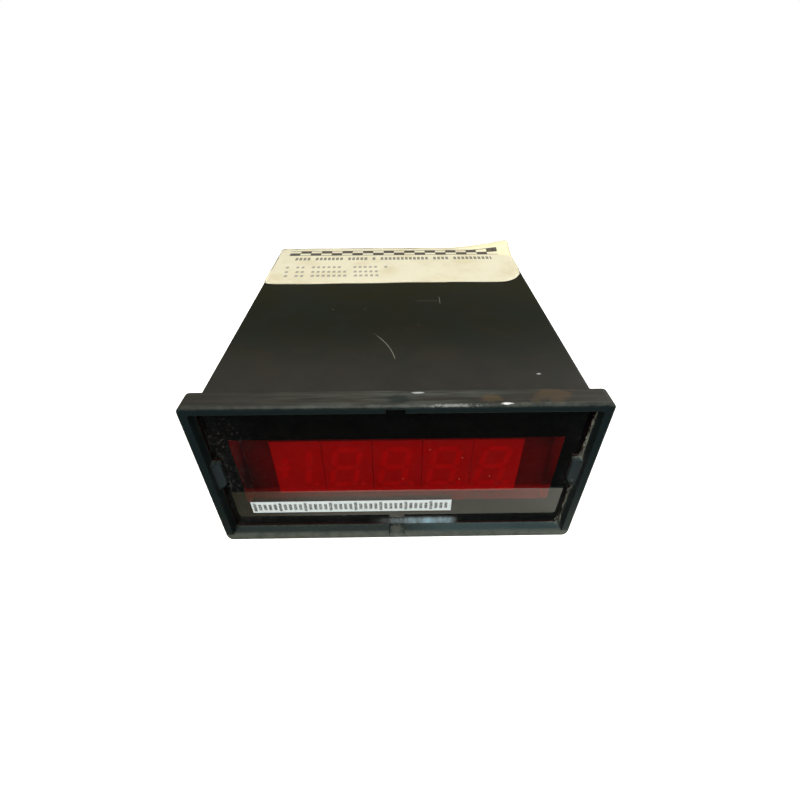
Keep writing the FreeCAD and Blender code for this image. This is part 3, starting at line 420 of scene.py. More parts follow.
    scratches = [
        scratch((-27.1, 11.7, TUBE_TOP), 27.1, 0.11, 0.76, 0.13),
        scratch((8.0, -70.0, TUBE_TOP), 119.5, 0.08, 1.60, 1.52, 0.45),
        scratch((-86.0, 50.3, TUBE_TOP), 100.0, 0.10, 0.030, -0.030, 0.8),
    ]
    colour = cover(highest(tree, *scratches), 0.28, DUST)
    chips = [
        patch((23.9, -5.1, 24.0), (1.5, 0.5, 0.3), 0.35, 2.0),
        patch((12.0, -5.4, 23.9), (6.0, 0.45, 0.5), 0.9, 1.3, 0.22),
        patch((4.8, -0.9, 24.0), (1.7, 0.40, 0.5), 0.35, 2.0, 0.50),
        patch((34.6, 8.5, 22.3), (0.8, 0.35, 0.6), 0.4, 2.5, 0.45),
    ]
    colour = cover(highest(tree, *chips), 0.8, BARE_CHIP)

    rough = ramp(tree, grain["Variation"], 0.3, 0.7, 0.36, 0.50)
    set_inputs(tree, shader, {
        "Base Color": colour,
        "Roughness": maths(tree, "ADD", rough, product(tree, loose, 0.4)),
        "Specular IOR Level": 0.08,
        "Normal": relief(tree, grain["Height"], 0.10, 0.05, edge["Normal"]),
    })
    return material


finish(["case"], case_plastic())


# ------------------------------------------------------------------ lens mask
# Black ink printed on the back of the lens, with the display's window left clear. It is in
# full contact with the acrylic, so its front lies a hair inside the lens.

INK_DEEP = (0.0005, 0.0010, 0.0012, 1)
INK_THIN = (0.0009, 0.0014, 0.0016, 1)
INK_SINK = 0.02 * MM
MASK_CORNER = 0.8 * MM


def new_piece(name, shape):
    """A new object in the scene, made from a finished bmesh."""
    bmesh.ops.recalc_face_normals(shape, faces=shape.faces[:])
    mesh = bpy.data.meshes.new(name)
    shape.to_mesh(mesh)
    shape.free()
    made = bpy.data.objects.new(name, mesh)
    scene.collection.objects.link(made)
    return made


def plate_mesh(name, outline, holes, y):
    """A flat plate across Y from an outline of X, Z points, with holes of the same kind."""
    plate = bmesh.new()
    for loop in [outline] + holes:
        ring = [plate.verts.new((px, y[0], pz)) for px, pz in loop]
        for start, end in zip(ring, ring[1:] + ring[:1]):
            plate.edges.new((start, end))
    bmesh.ops.triangle_fill(plate, use_beauty=True, edges=plate.edges[:])
    made = bmesh.ops.extrude_face_region(plate, geom=plate.faces[:])
    moved = [v for v in made["geom"] if isinstance(v, bmesh.types.BMVert)]
    bmesh.ops.translate(plate, verts=moved, vec=(0, y[1] - y[0], 0))
    return new_piece(name, plate)


def mask_outline():
    """The mask's outline with its two lug slots, and its window, from the CAD piece."""
    low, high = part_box("lens_mask")
    points = [(round(v.co.x, 5), round(v.co.z, 5)) for v in pieces["lens_mask"].data.vertices]
    middle = [(x, z) for x, z in points if abs(x) < 0.9 * high.x]
    slots = [(x, z) for x, z in points if 0.93 * high.x < x < 0.97 * high.x]
    slot_x, slot_z = max(x for x, _ in slots), max(z for _, z in slots)
    quarter = [(slot_x, slot_z), (high.x, slot_z),
               (high.x, high.z - MASK_CORNER), (high.x - MASK_CORNER, high.z)]
    upper = quarter + [(-x, z) for x, z in reversed(quarter)]
    outline = upper + [(x, -z) for x, z in reversed(upper)]
    sides = [x for x, _ in middle]
    levels = [z for _, z in middle if 0.9 * low.z < z < 0.9 * high.z]
    left, right, bottom, top = min(sides), max(sides), min(levels), max(levels)
    return outline, [(left, bottom), (right, bottom), (right, top), (left, top)]


def mask_ink():
    material, tree, shader = new_material("mask ink")
    grain = use_group(tree, moulded_grain, fineness=2.0, unevenness=0.4)
    set_inputs(tree, shader, {
        "Base Color": tint(tree, grain["Variation"], INK_DEEP, INK_THIN),
        "Roughness": 0.7,
        "Specular IOR Level": 0.0,
    })
    return material


mask_low, mask_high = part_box("lens_mask")
mask_edge, mask_window = mask_outline()
printed_mask = plate_mesh("printed_mask", mask_edge, [mask_window], (mask_low.y - INK_SINK, mask_high.y))
printed_mask.data.materials.append(mask_ink())
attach(printed_mask, "lens_unit")
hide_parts("lens_mask")


# ----------------------------------------------------------------------- lens
# A flat sheet of clear red acrylic, cut to fit the flange's recess with a slot for each lug.
# Its front carries a scatter of dust, thickest at the left, and a painted bluish reflection low down. Its
# sawn edges are painted near black: grime together with painted shade.

LENS_RED = (0.62, 0.004, 0.003, 1)
PASSED_RED = (0.787, 0.063, 0.055, 1)
LENS_DUST = (0.42, 0.46, 0.45, 1)
# pale bluish colour of a painted reflection on the lens
LENS_SHEEN = (0.37, 0.61, 0.74, 1)
# near-black colour of the lens's sawn edges: grime together with painted shade
EDGE_GRIME_AND_SHADE = (0.010, 0.014, 0.014, 1)


def lens_film(tree):
    """The dust on the lens: an even film, a speckle thickest at the left, and a painted bluish reflection
    low on its front.
    """
    place, x, _, z = place_mm(tree)
    grains = use_group(tree, specks, spacing=0.75, size=0.30, share=0.45)["Mask"]
    coarse = noise(tree, place, 0.35, 5.0, 0.7)
    sides = highest(tree, ramp(tree, x, -33.0, -44.5), ramp(tree, x, 40.5, 45.0, 0.0, 0.6))
    drift = product(tree, sides, ramp(tree, coarse, 0.25, 0.75, 0.25, 1.0))
    grit = product(tree, maths(tree, "ADD", grains, 0.04), drift, 0.10)
    dust = maths(tree, "ADD", ramp(tree, coarse, 0.30, 0.70, 0.0005, 0.0030), grit)
    # painted reflection: a streaky bluish sheen low on the lens's front
    rays = noise(tree, vectors(tree, "MULTIPLY", place, (0.42, 0.0, 0.10)), 1.0, 3.0, 0.6)
    painted_sheen = product(tree, ramp(tree, x, -9.0, 10.0), ramp(tree, x, 17.5, 13.0),
                  ramp(tree, z, -18.2, -20.2), ramp(tree, rays, 0.30, 0.70, 0.45, 1.0))
    return maths(tree, "ADD", dust, product(tree, painted_sheen, 0.62)), painted_sheen


def lens_acrylic():
    material, tree, shader = new_material("lens acrylic")
    output = tree.get_output_node("ALL")
    faces = facing(tree)
    polish = ramp(tree, noise(tree, place_mm(tree)[0], 0.25, 6.0, 0.7), 0.45, 0.8, 0.005, 0.10)
    sawn = ramp(tree, faces[2], 0.5, 0.9, 0.0, 0.35)
    set_inputs(tree, shader, {
        "Base Color": LENS_RED,
        "Transmission Weight": 1.0,
        "IOR": 1.49,
        "Roughness": maths(tree, "ADD", polish, sawn),
    })
    level, painted_sheen = lens_film(tree)
    on_front = product(tree, level, ramp(tree, faces[1], -0.5, -0.9))
    film = add(tree, "BsdfDiffuse", {"Color": tint(tree, painted_sheen, LENS_DUST, LENS_SHEEN)})
    dusty = add(tree, "MixShader", {0: on_front, 1: shader.outputs[0], 2: film.outputs[0]})
    # the sawn edges are painted near black, grime together with painted shade in the groove, and light
    # passing through them is darkened the same way
    edges = ramp(tree, maths(tree, "ABSOLUTE", faces[1]), 0.5, 0.2)
    grime_and_shade = add(tree, "BsdfDiffuse", {"Color": EDGE_GRIME_AND_SHADE})
    dirty = add(tree, "MixShader", {0: edges, 1: dusty.outputs[0], 2: grime_and_shade.outputs[0]})
    # light that only passes through takes the red without bending
    clear = add(tree, "BsdfTransparent", {"Color": tint(tree, edges, PASSED_RED, EDGE_GRIME_AND_SHADE)})
    path = add(tree, "LightPath").outputs
    passing = highest(tree, path["Is Shadow Ray"], path["Is Diffuse Ray"])
    mixed = add(tree, "MixShader", {0: passing, 1: dirty.outputs[0], 2: clear.outputs[0]})
    set_inputs(tree, output, {"Surface": mixed.outputs[0]})
    return material


finish(["lens"], lens_acrylic())


# ----------------------------------------------------------------- loose dust
# Crumbs of pale fluff: a scatter on the lens and a drift against its right-hand edge, where
# it and the wall of the recess meet.

FLUFF_DARK = (0.16, 0.17, 0.135, 1)
FLUFF_PALE = (0.42, 0.43, 0.36, 1)
LEFT_GRAINS = 300
LOOSE_GRAINS = 70
EDGE_GRAINS = 520
WALL_GRAINS = 620
LARGE_SPECKS = ((16.2, 4.6), (16.0, -3.2), (23.8, -2.2), (1.4, -2.8), (8.0, 7.5))
LARGE_SPECK = 0.14 * MM
LUG_TOP = 3.9 * MM


def dust_fluff():
    material, tree, shader = new_material("dust fluff")
    set_inputs(tree, shader, {
        "Base Color": tint(tree, noise(tree, place_mm(tree)[0], 3.0, 4.0), FLUFF_DARK, FLUFF_PALE),
        "Roughness": 0.95,
        "Specular IOR Level": 0.1,
    })
    return material


fluff = dust_fluff()


def crumb(mesh, centre, size, chance):
    """One flat, uneven crumb of dust that faces the front."""
    corners = []
    count = chance.choice((5, 6, 7))
    for step in range(count):
        turn = 2 * math.pi * step / count
        reach = size * chance.uniform(0.55, 1.0)
        corners.append(mesh.verts.new(centre + Vector((reach * math.cos(turn), 0, reach * math.sin(turn)))))
    tip = mesh.verts.new(centre - Vector((0, size * 0.5, 0)))
    for first, second in zip(corners, corners[1:] + corners[:1]):
        mesh.faces.new((first, second, tip))
    mesh.faces.new(tuple(reversed(corners)))


def dust_piece(name, crumbs, body, seed):
    """A piece made of many crumbs, given as places and sizes."""
    chance = random.Random(seed)
    dust = bmesh.new()
    for centre, size in crumbs:
        crumb(dust, Vector(centre), size, chance)
    made = new_piece(name, dust)
    made.data.materials.append(fluff)
    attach(made, body)
    return made


def drifts(chance, count):
    """Heights of crumbs at the right-hand edge: loose heaps, the largest by the lug and the corner."""
    heaps = [(chance.uniform(-20.0, 20.0), chance.uniform(0.4, 1.8)) for _ in range(15)]
    heaps += [(4.8, 0.9), (-5.0, 1.4), (-20.4, 0.8), (-19.8, 1.2)]
    for _ in range(count):
        middle, spread = chance.choice(heaps)
        z = chance.gauss(middle, spread)
        near = math.exp(-((abs(z) - 5.0) / 1.6) ** 2) + 1.3 * math.exp(-((z + 20.6) / 1.3) ** 2)
        yield z * MM, near


def lens_crumbs():
    """Fine dust at the lens's left, thinner elsewhere, a drift at its right edge, and larger specks."""
    chance = random.Random(7)
    low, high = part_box("lens")
    front = low.y - 0.004 * MM
    found = []
    for _ in range(LEFT_GRAINS):
        x = low.x + 1.0 * MM + abs(chance.gauss(0, 5.5)) * MM
        z = chance.gauss(1, 8) * MM
        if abs(z) < high.z - 1.0 * MM:
            found.append(((x, front, z), chance.uniform(0.018, 0.050) * MM))
    for _ in range(LOOSE_GRAINS):
        x = chance.uniform(low.x * 0.97, high.x * 0.97)
        z = chance.uniform(low.z * 0.95, high.z * 0.5)
        found.append(((x, front, z), chance.uniform(0.02, 0.05) * MM))
    for x, z in LARGE_SPECKS:
        found.append(((x * MM, front, z * MM), LARGE_SPECK))
    for z, near in drifts(chance, EDGE_GRAINS):
        x = high.x - abs(chance.gauss(0, 0.16 + 0.55 * near)) * MM
        if LUG_TOP < abs(z) < high.z - 0.1 * MM:
            found.append(((x, front, z), chance.uniform(0.03, 0.09) * MM))
    return found


def wall_crumbs():
    """The dust on the right-hand wall of the recess, in front of the lens's edge."""
    chance = random.Random(23)
    low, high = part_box("lens")
    wall = high.x + 0.13 * MM
    found = []
    for z, near in drifts(chance, WALL_GRAINS):
        rise = min(0.1 + abs(chance.gauss(0, 0.15 + 0.55 * near)), 2.3) * MM
        if abs(z) < high.z - 0.1 * MM and (abs(z) > LUG_TOP or rise < 0.6 * MM):
            found.append(((wall, low.y - rise, z), chance.uniform(0.03, 0.09) * MM))
    return found


dust_piece("lens_dust", lens_crumbs(), "lens_unit", 11)
dust_piece("groove_dust", wall_crumbs(), "housing", 31)


# ----------------------------------------------------------------- name strip
# A thin silvered strip stuck to the lens over the window's lower edge. It carries a plain
# scale of dark ticks, every fifth one longer.

STRIP_SILVER = (0.46, 0.51, 0.52, 1)
STRIP_DULL = (0.34, 0.37, 0.38, 1)
STRIP_INK = (0.030, 0.035, 0.037, 1)
TICK_PITCH = 1.37


def build_printed_row():
    """A row of printed marks: a mark in each step of a pitch, with some left out."""
    tree, given, result = new_group(
        "printed row",
        [("Along", "Float", 0.0), ("Across", "Float", 0.0), ("From", "Float", 0.0), ("To", "Float", 10.0),
         ("Low", "Float", 0.0), ("High", "Float", 1.0), ("Pitch", "Float", 1.0), ("Fill", "Float", 0.5),
         ("Skip", "Float", 0.0)],
        [("Mask", "Float")],
    )
    steps = maths(tree, "DIVIDE", maths(tree, "SUBTRACT", given["Along"], given["From"]), given["Pitch"])
    cell = maths(tree, "FLOOR", steps)
    chance = add(tree, "TexWhiteNoise", {"W": cell}, noise_dimensions="1D").outputs["Value"]
    level = product(tree, maths(tree, "LESS_THAN", maths(tree, "SUBTRACT", steps, cell), given["Fill"]),
                    maths(tree, "GREATER_THAN", chance, given["Skip"]))
    for value, low, high in (("Along", "From", "To"), ("Across", "Low", "High")):
        level = product(tree, level, maths(tree, "GREATER_THAN", given[value], given[low]),
                        maths(tree, "LESS_THAN", given[value], given[high]))
    set_inputs(tree, result, {"Mask": level})
    return tree


printed_row = build_printed_row()


def marks(tree, along, across, x, y, pitch=200.0, fill=1.0, skip=-1.0):
    """Printed marks between two limits each way: a solid bar, unless they have a pitch."""
    return use_group(tree, printed_row, **{
        "along": along, "across": across, "from": x[0], "to": x[1], "low": y[0], "high": y[1],
        "pitch": pitch, "fill": fill, "skip": skip})["Mask"]


def strip_foil():
    material, tree, shader = new_material("name strip foil")
    place, x, _, z = place_mm(tree)
    low, high = (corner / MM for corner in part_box("name_strip"))
    ends = (low.x + 0.5, high.x - 0.4)

    def ticks(margin, pitch, fill):
        inset = margin * (high.z - low.z)
        return marks(tree, x, z, ends, (low.z + inset, high.z - inset), pitch, fill, 0.0)

    worn = noise(tree, place, 2.2, 5.0, 0.7)
    ink = highest(tree, ticks(0.23, TICK_PITCH, 0.60), ticks(0.12, 5 * TICK_PITCH, 0.11))
    ink = product(tree, ink, ramp(tree, worn, 0.35, 0.6, 0.55, 1.0))
    ground = tint(tree, ramp(tree, worn, 0.45, 0.75), STRIP_SILVER, STRIP_DULL)
    set_inputs(tree, shader, {
        "Base Color": tint(tree, ink, ground, STRIP_INK),
        "Roughness": ramp(tree, worn, 0.3, 0.7, 0.30, 0.5),
    })
    return material


finish(["name_strip"], strip_foil())


# ------------------------------------------------------------ display modules
# Five moulded seven-segment modules side by side: a painted plastic shell with a pocket of
# milky resin over each light bar. All the bars are dark.

BODY_RED = (0.36, 0.036, 0.028, 1)
BODY_DARK = (0.325, 0.031, 0.025, 1)
RESIN_RED = (0.42, 0.047, 0.035, 1)
RESIN_MILKY = (0.49, 0.058, 0.042, 1)
BAR_RED = (0.55, 0.070, 0.052, 1)


def display_shell():
    material, tree, shader = new_material("display shell")
    grain = use_group(tree, moulded_grain, fineness=4.0, unevenness=0.4)
    edge = use_group(tree, worn_edge, radius=0.12 * MM, wear=0.6, breakup=2.0)
    colour = tint(tree, ramp(tree, grain["Variation"], 0.3, 0.7), BODY_RED, BODY_DARK)
    set_inputs(tree, shader, {
        "Base Color": tint(tree, edge["Mask"], colour, BAR_RED),
        "Roughness": 0.55,
        "Normal": relief(tree, grain["Height"], 0.1, 0.03, edge["Normal"]),
    })
    return material


def display_resin():
    material, tree, shader = new_material("display resin")
    edge = use_group(tree, worn_edge, radius=0.25 * MM, wear=1.0, breakup=1.0)
    milky = tint(tree, noise(tree, place_mm(tree)[0], 0.9, 4.0), RESIN_RED, RESIN_MILKY)
    set_inputs(tree, shader, {
        "Base Color": tint(tree, edge["Mask"], milky, BAR_RED),
        "Roughness": 0.3,
        "Normal": edge["Normal"],
    })
    return material


finish(numbered("digit_body"), display_shell())
finish(numbered("digit_segments"), display_resin())


# ------------------------------------------------------------- circuit boards
# Glass-epoxy boards under green solder resist. The display board stands up behind the
# modules and the main board lies in the case's card guides.

RESIST_GREEN = (0.150, 0.250, 0.090, 1)
TRACK_GREEN = (0.175, 0.340, 0.125, 1)
BARE_EPOXY = (0.30, 0.27, 0.14, 1)
TRACK_PITCH = 1.27
TRACK_RUN = 8.9
TRACK_HALF_WIDTH = 0.17
TRACKS_LEFT_OUT = 0.62


def board_lanes(tree, along, across):
    """Straight copper tracks on a grid: each lane is cut into runs, and some runs are left out."""
    lanes = maths(tree, "DIVIDE", across, TRACK_PITCH)
    lane = maths(tree, "FLOOR", lanes)
    off_middle = maths(tree, "ABSOLUTE", maths(tree, "SUBTRACT", maths(tree, "FRACT", lanes), 0.5))
    inside = maths(tree, "LESS_THAN", off_middle, TRACK_HALF_WIDTH)
    offset = add(tree, "TexWhiteNoise", {"W": lane}, noise_dimensions="1D").outputs["Value"]
    steps = maths(tree, "ADD", maths(tree, "DIVIDE", along, TRACK_RUN), product(tree, offset, 5.0))
    run = add(tree, "CombineXYZ", {0: lane, 1: maths(tree, "FLOOR", steps)}).outputs[0]
    chance = add(tree, "TexWhiteNoise", {"Vector": run}, noise_dimensions="3D").outputs["Value"]
    return product(tree, inside, maths(tree, "GREATER_THAN", chance, TRACKS_LEFT_OUT))


def circuit_board():
    material, tree, shader = new_material("circuit board")
    place, x, y, z = place_mm(tree)
    depth = maths(tree, "ADD", y, z)
    pads = use_group(tree, specks, spacing=2 * TRACK_PITCH, size=1.5, share=0.35)["Mask"]
    track = highest(tree, board_lanes(tree, x, depth), board_lanes(tree, depth, x), pads)
    weave = noise(tree, place, 2.5, 4.0)
    height = maths(tree, "ADD", product(tree, track, 0.8), product(tree, weave, 0.3))
    edge = use_group(tree, worn_edge, radius=0.2 * MM, wear=0.7, breakup=2.0)
    green = tint(tree, track, RESIST_GREEN, TRACK_GREEN)
    set_inputs(tree, shader, {
        "Base Color": tint(tree, edge["Mask"], green, BARE_EPOXY),
        "Roughness": 0.32,
        "Specular IOR Level": 0.10,
        "Normal": relief(tree, height, 0.4, 0.05),
    })
    return material


finish(["display_board", "main_board"], circuit_board())


# ------------------------------------------------------------ mouldings inside
# Small mouldings and dipped parts on the boards: black, blue, or the tan, orange and white
# of resistors, film capacitors and the transformer's bobbin.

SMALL_MOULDINGS = (
    ("black moulding", ("link_header", "converter_chip", "chip_socket", "regulator", "bridge_rectifier"),
     (0.013, 0.013, 0.014, 1), (0.10, 0.10, 0.10, 1), 0.42),
    ("trimmer blue", ("zero_trimmer_body", "span_trimmer_body"),
     (0.020, 0.085, 0.30, 1), (0.12, 0.22, 0.45, 1), 0.35),
    ("resistor lacquer", ("resistors",), (0.42, 0.31, 0.19, 1), (0.6, 0.5, 0.36, 1), 0.30),
    ("dipped film", ("film_capacitors",), (0.36, 0.085, 0.022, 1), (0.5, 0.2, 0.08, 1), 0.22),
    ("bobbin nylon", ("transformer_bobbin",), (0.55, 0.54, 0.48, 1), (0.7, 0.69, 0.62, 1), 0.45),
)


def small_moulding(name, colour, pale, roughness):
    """A moulding with a fine grain, a faint cloud of colour and rubbed edges."""
    material, tree, shader = new_material(name)
    grain = use_group(tree, moulded_grain, fineness=4.0, unevenness=0.3)
    edge = use_group(tree, worn_edge, radius=0.2 * MM, wear=0.55, breakup=1.5)
    dust = use_group(tree, settled_dust, reach=1.2 * MM, amount=0.35, breakup=1.0)["Mask"]
    darker = tuple(0.7 * part for part in colour[:3]) + (1,)
    cloud = tint(tree, ramp(tree, grain["Variation"], 0.3, 0.7), colour, darker)
    rubbed = tint(tree, product(tree, edge["Mask"], 0.6), cloud, pale)
    set_inputs(tree, shader, {
        "Base Color": tint(tree, dust, rubbed, DUST),
        "Roughness": ramp(tree, grain["Variation"], 0.3, 0.7, roughness - 0.06, roughness + 0.06),
        "Normal": relief(tree, grain["Height"], 0.15, 0.04, edge["Normal"]),
    })
    return material


for name, users, colour, pale, roughness in SMALL_MOULDINGS:
    finish(users, small_moulding(name, colour, pale, roughness))


# ------------------------------------------------------- metal and wound parts
# Tinned and steel parts are dull and streaked, the trimmers' screws are brass, the core is
# a stack of lacquered sheets, and the winding is under yellow tape.

METAL_PARTS = (
    ("tinned metal", ["link_pins", "chip_legs", "terminal_tabs"],
     (0.66, 0.65, 0.61, 1), (0.42, 0.40, 0.36, 1), 0.28, (1, 1, 0.15)),
    ("screw steel", ["cover_screws"] + numbered(("terminal_clamp", "terminal_screw")),
     (0.55, 0.55, 0.54, 1), (0.33, 0.31, 0.28, 1), 0.26, (1, 0.2, 1)),
    ("screw brass", ["zero_trimmer_screw", "span_trimmer_screw"],
     (0.72, 0.49, 0.19, 1), (0.42, 0.28, 0.11, 1), 0.24, (1, 0.2, 1)),
    ("sink aluminium", ["heat_sink"],
     (0.70, 0.71, 0.72, 1), (0.52, 0.52, 0.52, 1), 0.34, (0.15, 1, 1)),
)
CORE_STEEL = (0.16, 0.155, 0.15, 1)
CORE_RUST = (0.16, 0.075, 0.035, 1)
CORE_SEAM = (0.02, 0.02, 0.02, 1)
CORE_SHEET = 0.5
TAPE_YELLOW = (0.72, 0.50, 0.10, 1)
TAPE_LAP = (0.45, 0.27, 0.04, 1)
TAPE_CREASE = (0.80, 0.62, 0.25, 1)
TAPE_HALF = 2.4
SLEEVE_BLUE = (0.022, 0.045, 0.14, 1)
CAN_GREY = (0.55, 0.55, 0.55, 1)


def streaked_metal(name, colour, dull, roughness, stretch):
    """Metal with fine streaks along one axis and dull, slightly tarnished places."""
    material, tree, shader = new_material(name)
    place = place_mm(tree)[0]
    streak = noise(tree, vectors(tree, "MULTIPLY", place, stretch), 6.0, 4.0)
    tarnish = noise(tree, place, 0.6, 5.0, 0.65)
    edge = use_group(tree, worn_edge, radius=0.15 * MM, wear=0.8, breakup=1.5)
    set_inputs(tree, shader, {
        "Base Color": tint(tree, ramp(tree, tarnish, 0.4, 0.7), colour, dull),
        "Metallic": 1.0,
        "Roughness": ramp(tree, tarnish, 0.35, 0.7, roughness, roughness + 0.22),
        "Normal": relief(tree, streak, 0.2, 0.02, edge["Normal"]),
    })
    return material


def laminated_core():
    material, tree, shader = new_material("core sheets")
    place, _, y, _ = place_mm(tree)
    sheet = ramp(tree, maths(tree, "PINGPONG", y, CORE_SHEET / 2), 0.0, 0.06)
    rust = ramp(tree, noise(tree, place, 0.5, 6.0, 0.7), 0.45, 0.65)
    set_inputs(tree, shader, {
        "Base Color": tint(tree, sheet, CORE_SEAM, tint(tree, rust, CORE_STEEL, CORE_RUST)),
        "Metallic": 0.6,
        "Roughness": 0.48,
        "Normal": relief(tree, sheet, 0.5, 0.08),
    })
    return material


def winding_tape():
    material, tree, shader = new_material("winding tape")
    place, _, _, z = place_mm(tree)
    lap = ramp(tree, maths(tree, "PINGPONG", z, TAPE_HALF), TAPE_HALF - 0.2, TAPE_HALF - 0.04)
    crease = noise(tree, place, 0.8, 4.0)
    colour = tint(tree, product(tree, lap, 0.6), TAPE_YELLOW, TAPE_LAP)
    set_inputs(tree, shader, {
        "Base Color": tint(tree, ramp(tree, crease, 0.5, 0.8), colour, TAPE_CREASE),
        "Roughness": 0.28,
        "Normal": relief(tree, maths(tree, "ADD", product(tree, lap, 0.5), crease), 0.3, 0.1),
    })
    return material


def capacitor_sleeve():
    material, tree, shader = new_material("capacitor sleeve")
    shrink = use_group(tree, moulded_grain, fineness=1.0, unevenness=0.5)
    can_end = ramp(tree, facing(tree)[2], 0.6, 0.8)
    set_inputs(tree, shader, {
        "Base Color": tint(tree, can_end, SLEEVE_BLUE, CAN_GREY),
        "Metallic": product(tree, can_end, 0.9),
        "Roughness": 0.3,
        "Normal": relief(tree, shrink["Height"], 0.2, 0.1),
    })
    return material


for name, users, colour, dull, roughness, stretch in METAL_PARTS:
    finish(users, streaked_metal(name, colour, dull, roughness, stretch))
finish(["transformer_core"], laminated_core())
finish(["transformer_winding"], winding_tape())
finish(["smoothing_capacitors"], capacitor_sleeve())


# --------------------------------------------------- rear cover and terminals
# The cover is a flat moulding of the case's plastic, and the terminal blocks are a harder,
# glossier one. A painted tick on the cover marks each terminal.

COVER_BLACK = (0.017, 0.017, 0.016, 1)
COVER_FADED = (0.028, 0.026, 0.022, 1)
TICK_PAINT = (0.62, 0.62, 0.58, 1)
POLE_PITCH = 8.25
TICK_ROWS = ((-18.85, -1.0), (10.1, 20.0))
TICK_LEVELS = (-2.9, -1.3)
TICK_SHARE = 0.06


def cover_plastic():
    material, tree, shader = new_material("cover plastic")
    _, x, _, z = place_mm(tree)
    grain = use_group(tree, moulded_grain, fineness=4.5, unevenness=0.6)
    edge = use_group(tree, worn_edge, radius=0.3 * MM, wear=0.55, breakup=0.9)
    dust = use_group(tree, settled_dust, reach=2.5 * MM, amount=0.5, breakup=0.7)["Mask"]
    ticks = [marks(tree, x, z, ends, TICK_LEVELS, POLE_PITCH, TICK_SHARE, 0.0) for ends in TICK_ROWS]
    colour = tint(tree, ramp(tree, grain["Variation"], 0.3, 0.7), COVER_BLACK, COVER_FADED)
    colour = tint(tree, product(tree, edge["Mask"], 0.6), colour, RUBBED_EDGE_AND_HIGHLIGHT)
    colour = tint(tree, product(tree, highest(tree, *ticks), 0.85), colour, TICK_PAINT)
    set_inputs(tree, shader, {
        "Base Color": tint(tree, dust, colour, DUST),
        "Roughness": ramp(tree, grain["Variation"], 0.3, 0.7, 0.42, 0.56),
        "Normal": relief(tree, grain["Height"], 0.2, 0.06, edge["Normal"]),
    })
    return material


finish(["rear_cover"], cover_plastic())
finish(["power_terminal_block", "signal_terminal_block"],
       small_moulding("terminal moulding", (0.016, 0.016, 0.017, 1), (0.14, 0.14, 0.13, 1), 0.30))


# --------------------------------------------------------------- rating label
# Cream paper stuck across the top of the case. Its front edge is cut unevenly and its rear
# right corner has come away and curls up. A plain scale bar and rows of marks are printed on it.

PAPER = (0.960, 0.905, 0.680, 1)
PAPER_AGED = (0.860, 0.780, 0.520, 1)
PRINT = (0.050, 0.040, 0.030, 1)
TYPED = (0.330, 0.300, 0.240, 1)
LABEL_COLUMNS = 96
LABEL_ROWS = 40
FRONT_LEFT_CORNER = 2.6 * MM
FRONT_RIGHT_CORNER = 9.4 * MM
FRONT_RIGHT_STRETCH = 1.35
REAR_CORNER = 1.6 * MM
CURL_START_X = 20.0 * MM
CURL_DEPTH = 11.0 * MM
CURL_HEIGHT = 3.2 * MM
PAPER_THICKNESS = 0.10 * MM
PAPER_LIFT = 0.02 * MM
SCALE_BAR = (-41.0, 40.3)
SCALE_LOWER = (90.2, 92.7)
SCALE_UPPER = (92.7, 95.2)
SCALE_BLOCK = 8.13
SCALE_RULES = (90.2, 92.55, 94.9)
RULE_WIDTH = 0.35
TYPED_ROWS = (
    ((-40.0, 3.7), (77.3, 79.1), 1.9, 0.55, 0.38),
    ((-39.6, -6.0), (73.0, 74.8), 1.9, 0.55, 0.34),
    ((-39.3, -4.3), (69.4, 71.2), 1.9, 0.60, 0.22),
)


def rounded_end(distance, radius):
    """How far a rounded corner pulls an edge back, this far from the corner."""
    short = max(radius - distance, 0.0)
    return radius - math.sqrt(max(radius * radius - short * short, 0.0))


def label_lift(x, y, right, rear):
    """The height of the paper over the case: nearly flat, with the loose corner curled."""
    along = (x - CURL_START_X) / (right - CURL_START_X)
    inward = (rear - y) / CURL_DEPTH
    curl = max(0.0, min(1.0, along - inward))
    ripple = 0.5 * PAPER_LIFT * math.sin(x / MM * 0.31) * math.sin(y / MM * 0.23)
    return CURL_HEIGHT * curl ** 1.7 + PAPER_LIFT + ripple


def label_mesh():
    low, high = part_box("rating_label")
    paper = bmesh.new()
    grid = []
    for column in range(LABEL_COLUMNS + 1):
        share = column / LABEL_COLUMNS
        x = low.x + (high.x - low.x) * share
        from_left, from_right = x - low.x, high.x - x
        front = low.y + rounded_end(from_left, FRONT_LEFT_CORNER)
        front += FRONT_RIGHT_STRETCH * rounded_end(from_right, FRONT_RIGHT_CORNER)
        front += 0.40 * MM * (1 - math.sin(2 * math.pi * share + 0.4)) + 0.12 * MM * math.sin(19 * share)
        rear = high.y - rounded_end(from_left, REAR_CORNER) - rounded_end(from_right, REAR_CORNER)
        line = []
        for row in range(LABEL_ROWS + 1):
            y = front + (rear - front) * row / LABEL_ROWS
            line.append(paper.verts.new((x, y, low.z + label_lift(x, y, high.x, high.y))))
        grid.append(line)
    for near, far in zip(grid, grid[1:]):
        for row in range(LABEL_ROWS):
            paper.faces.new((near[row], far[row], far[row + 1], near[row + 1]))
    bmesh.ops.solidify(paper, geom=paper.faces[:], thickness=-PAPER_THICKNESS)
    for face in paper.faces:
        face.smooth = True
    return new_piece("paper_label", paper)


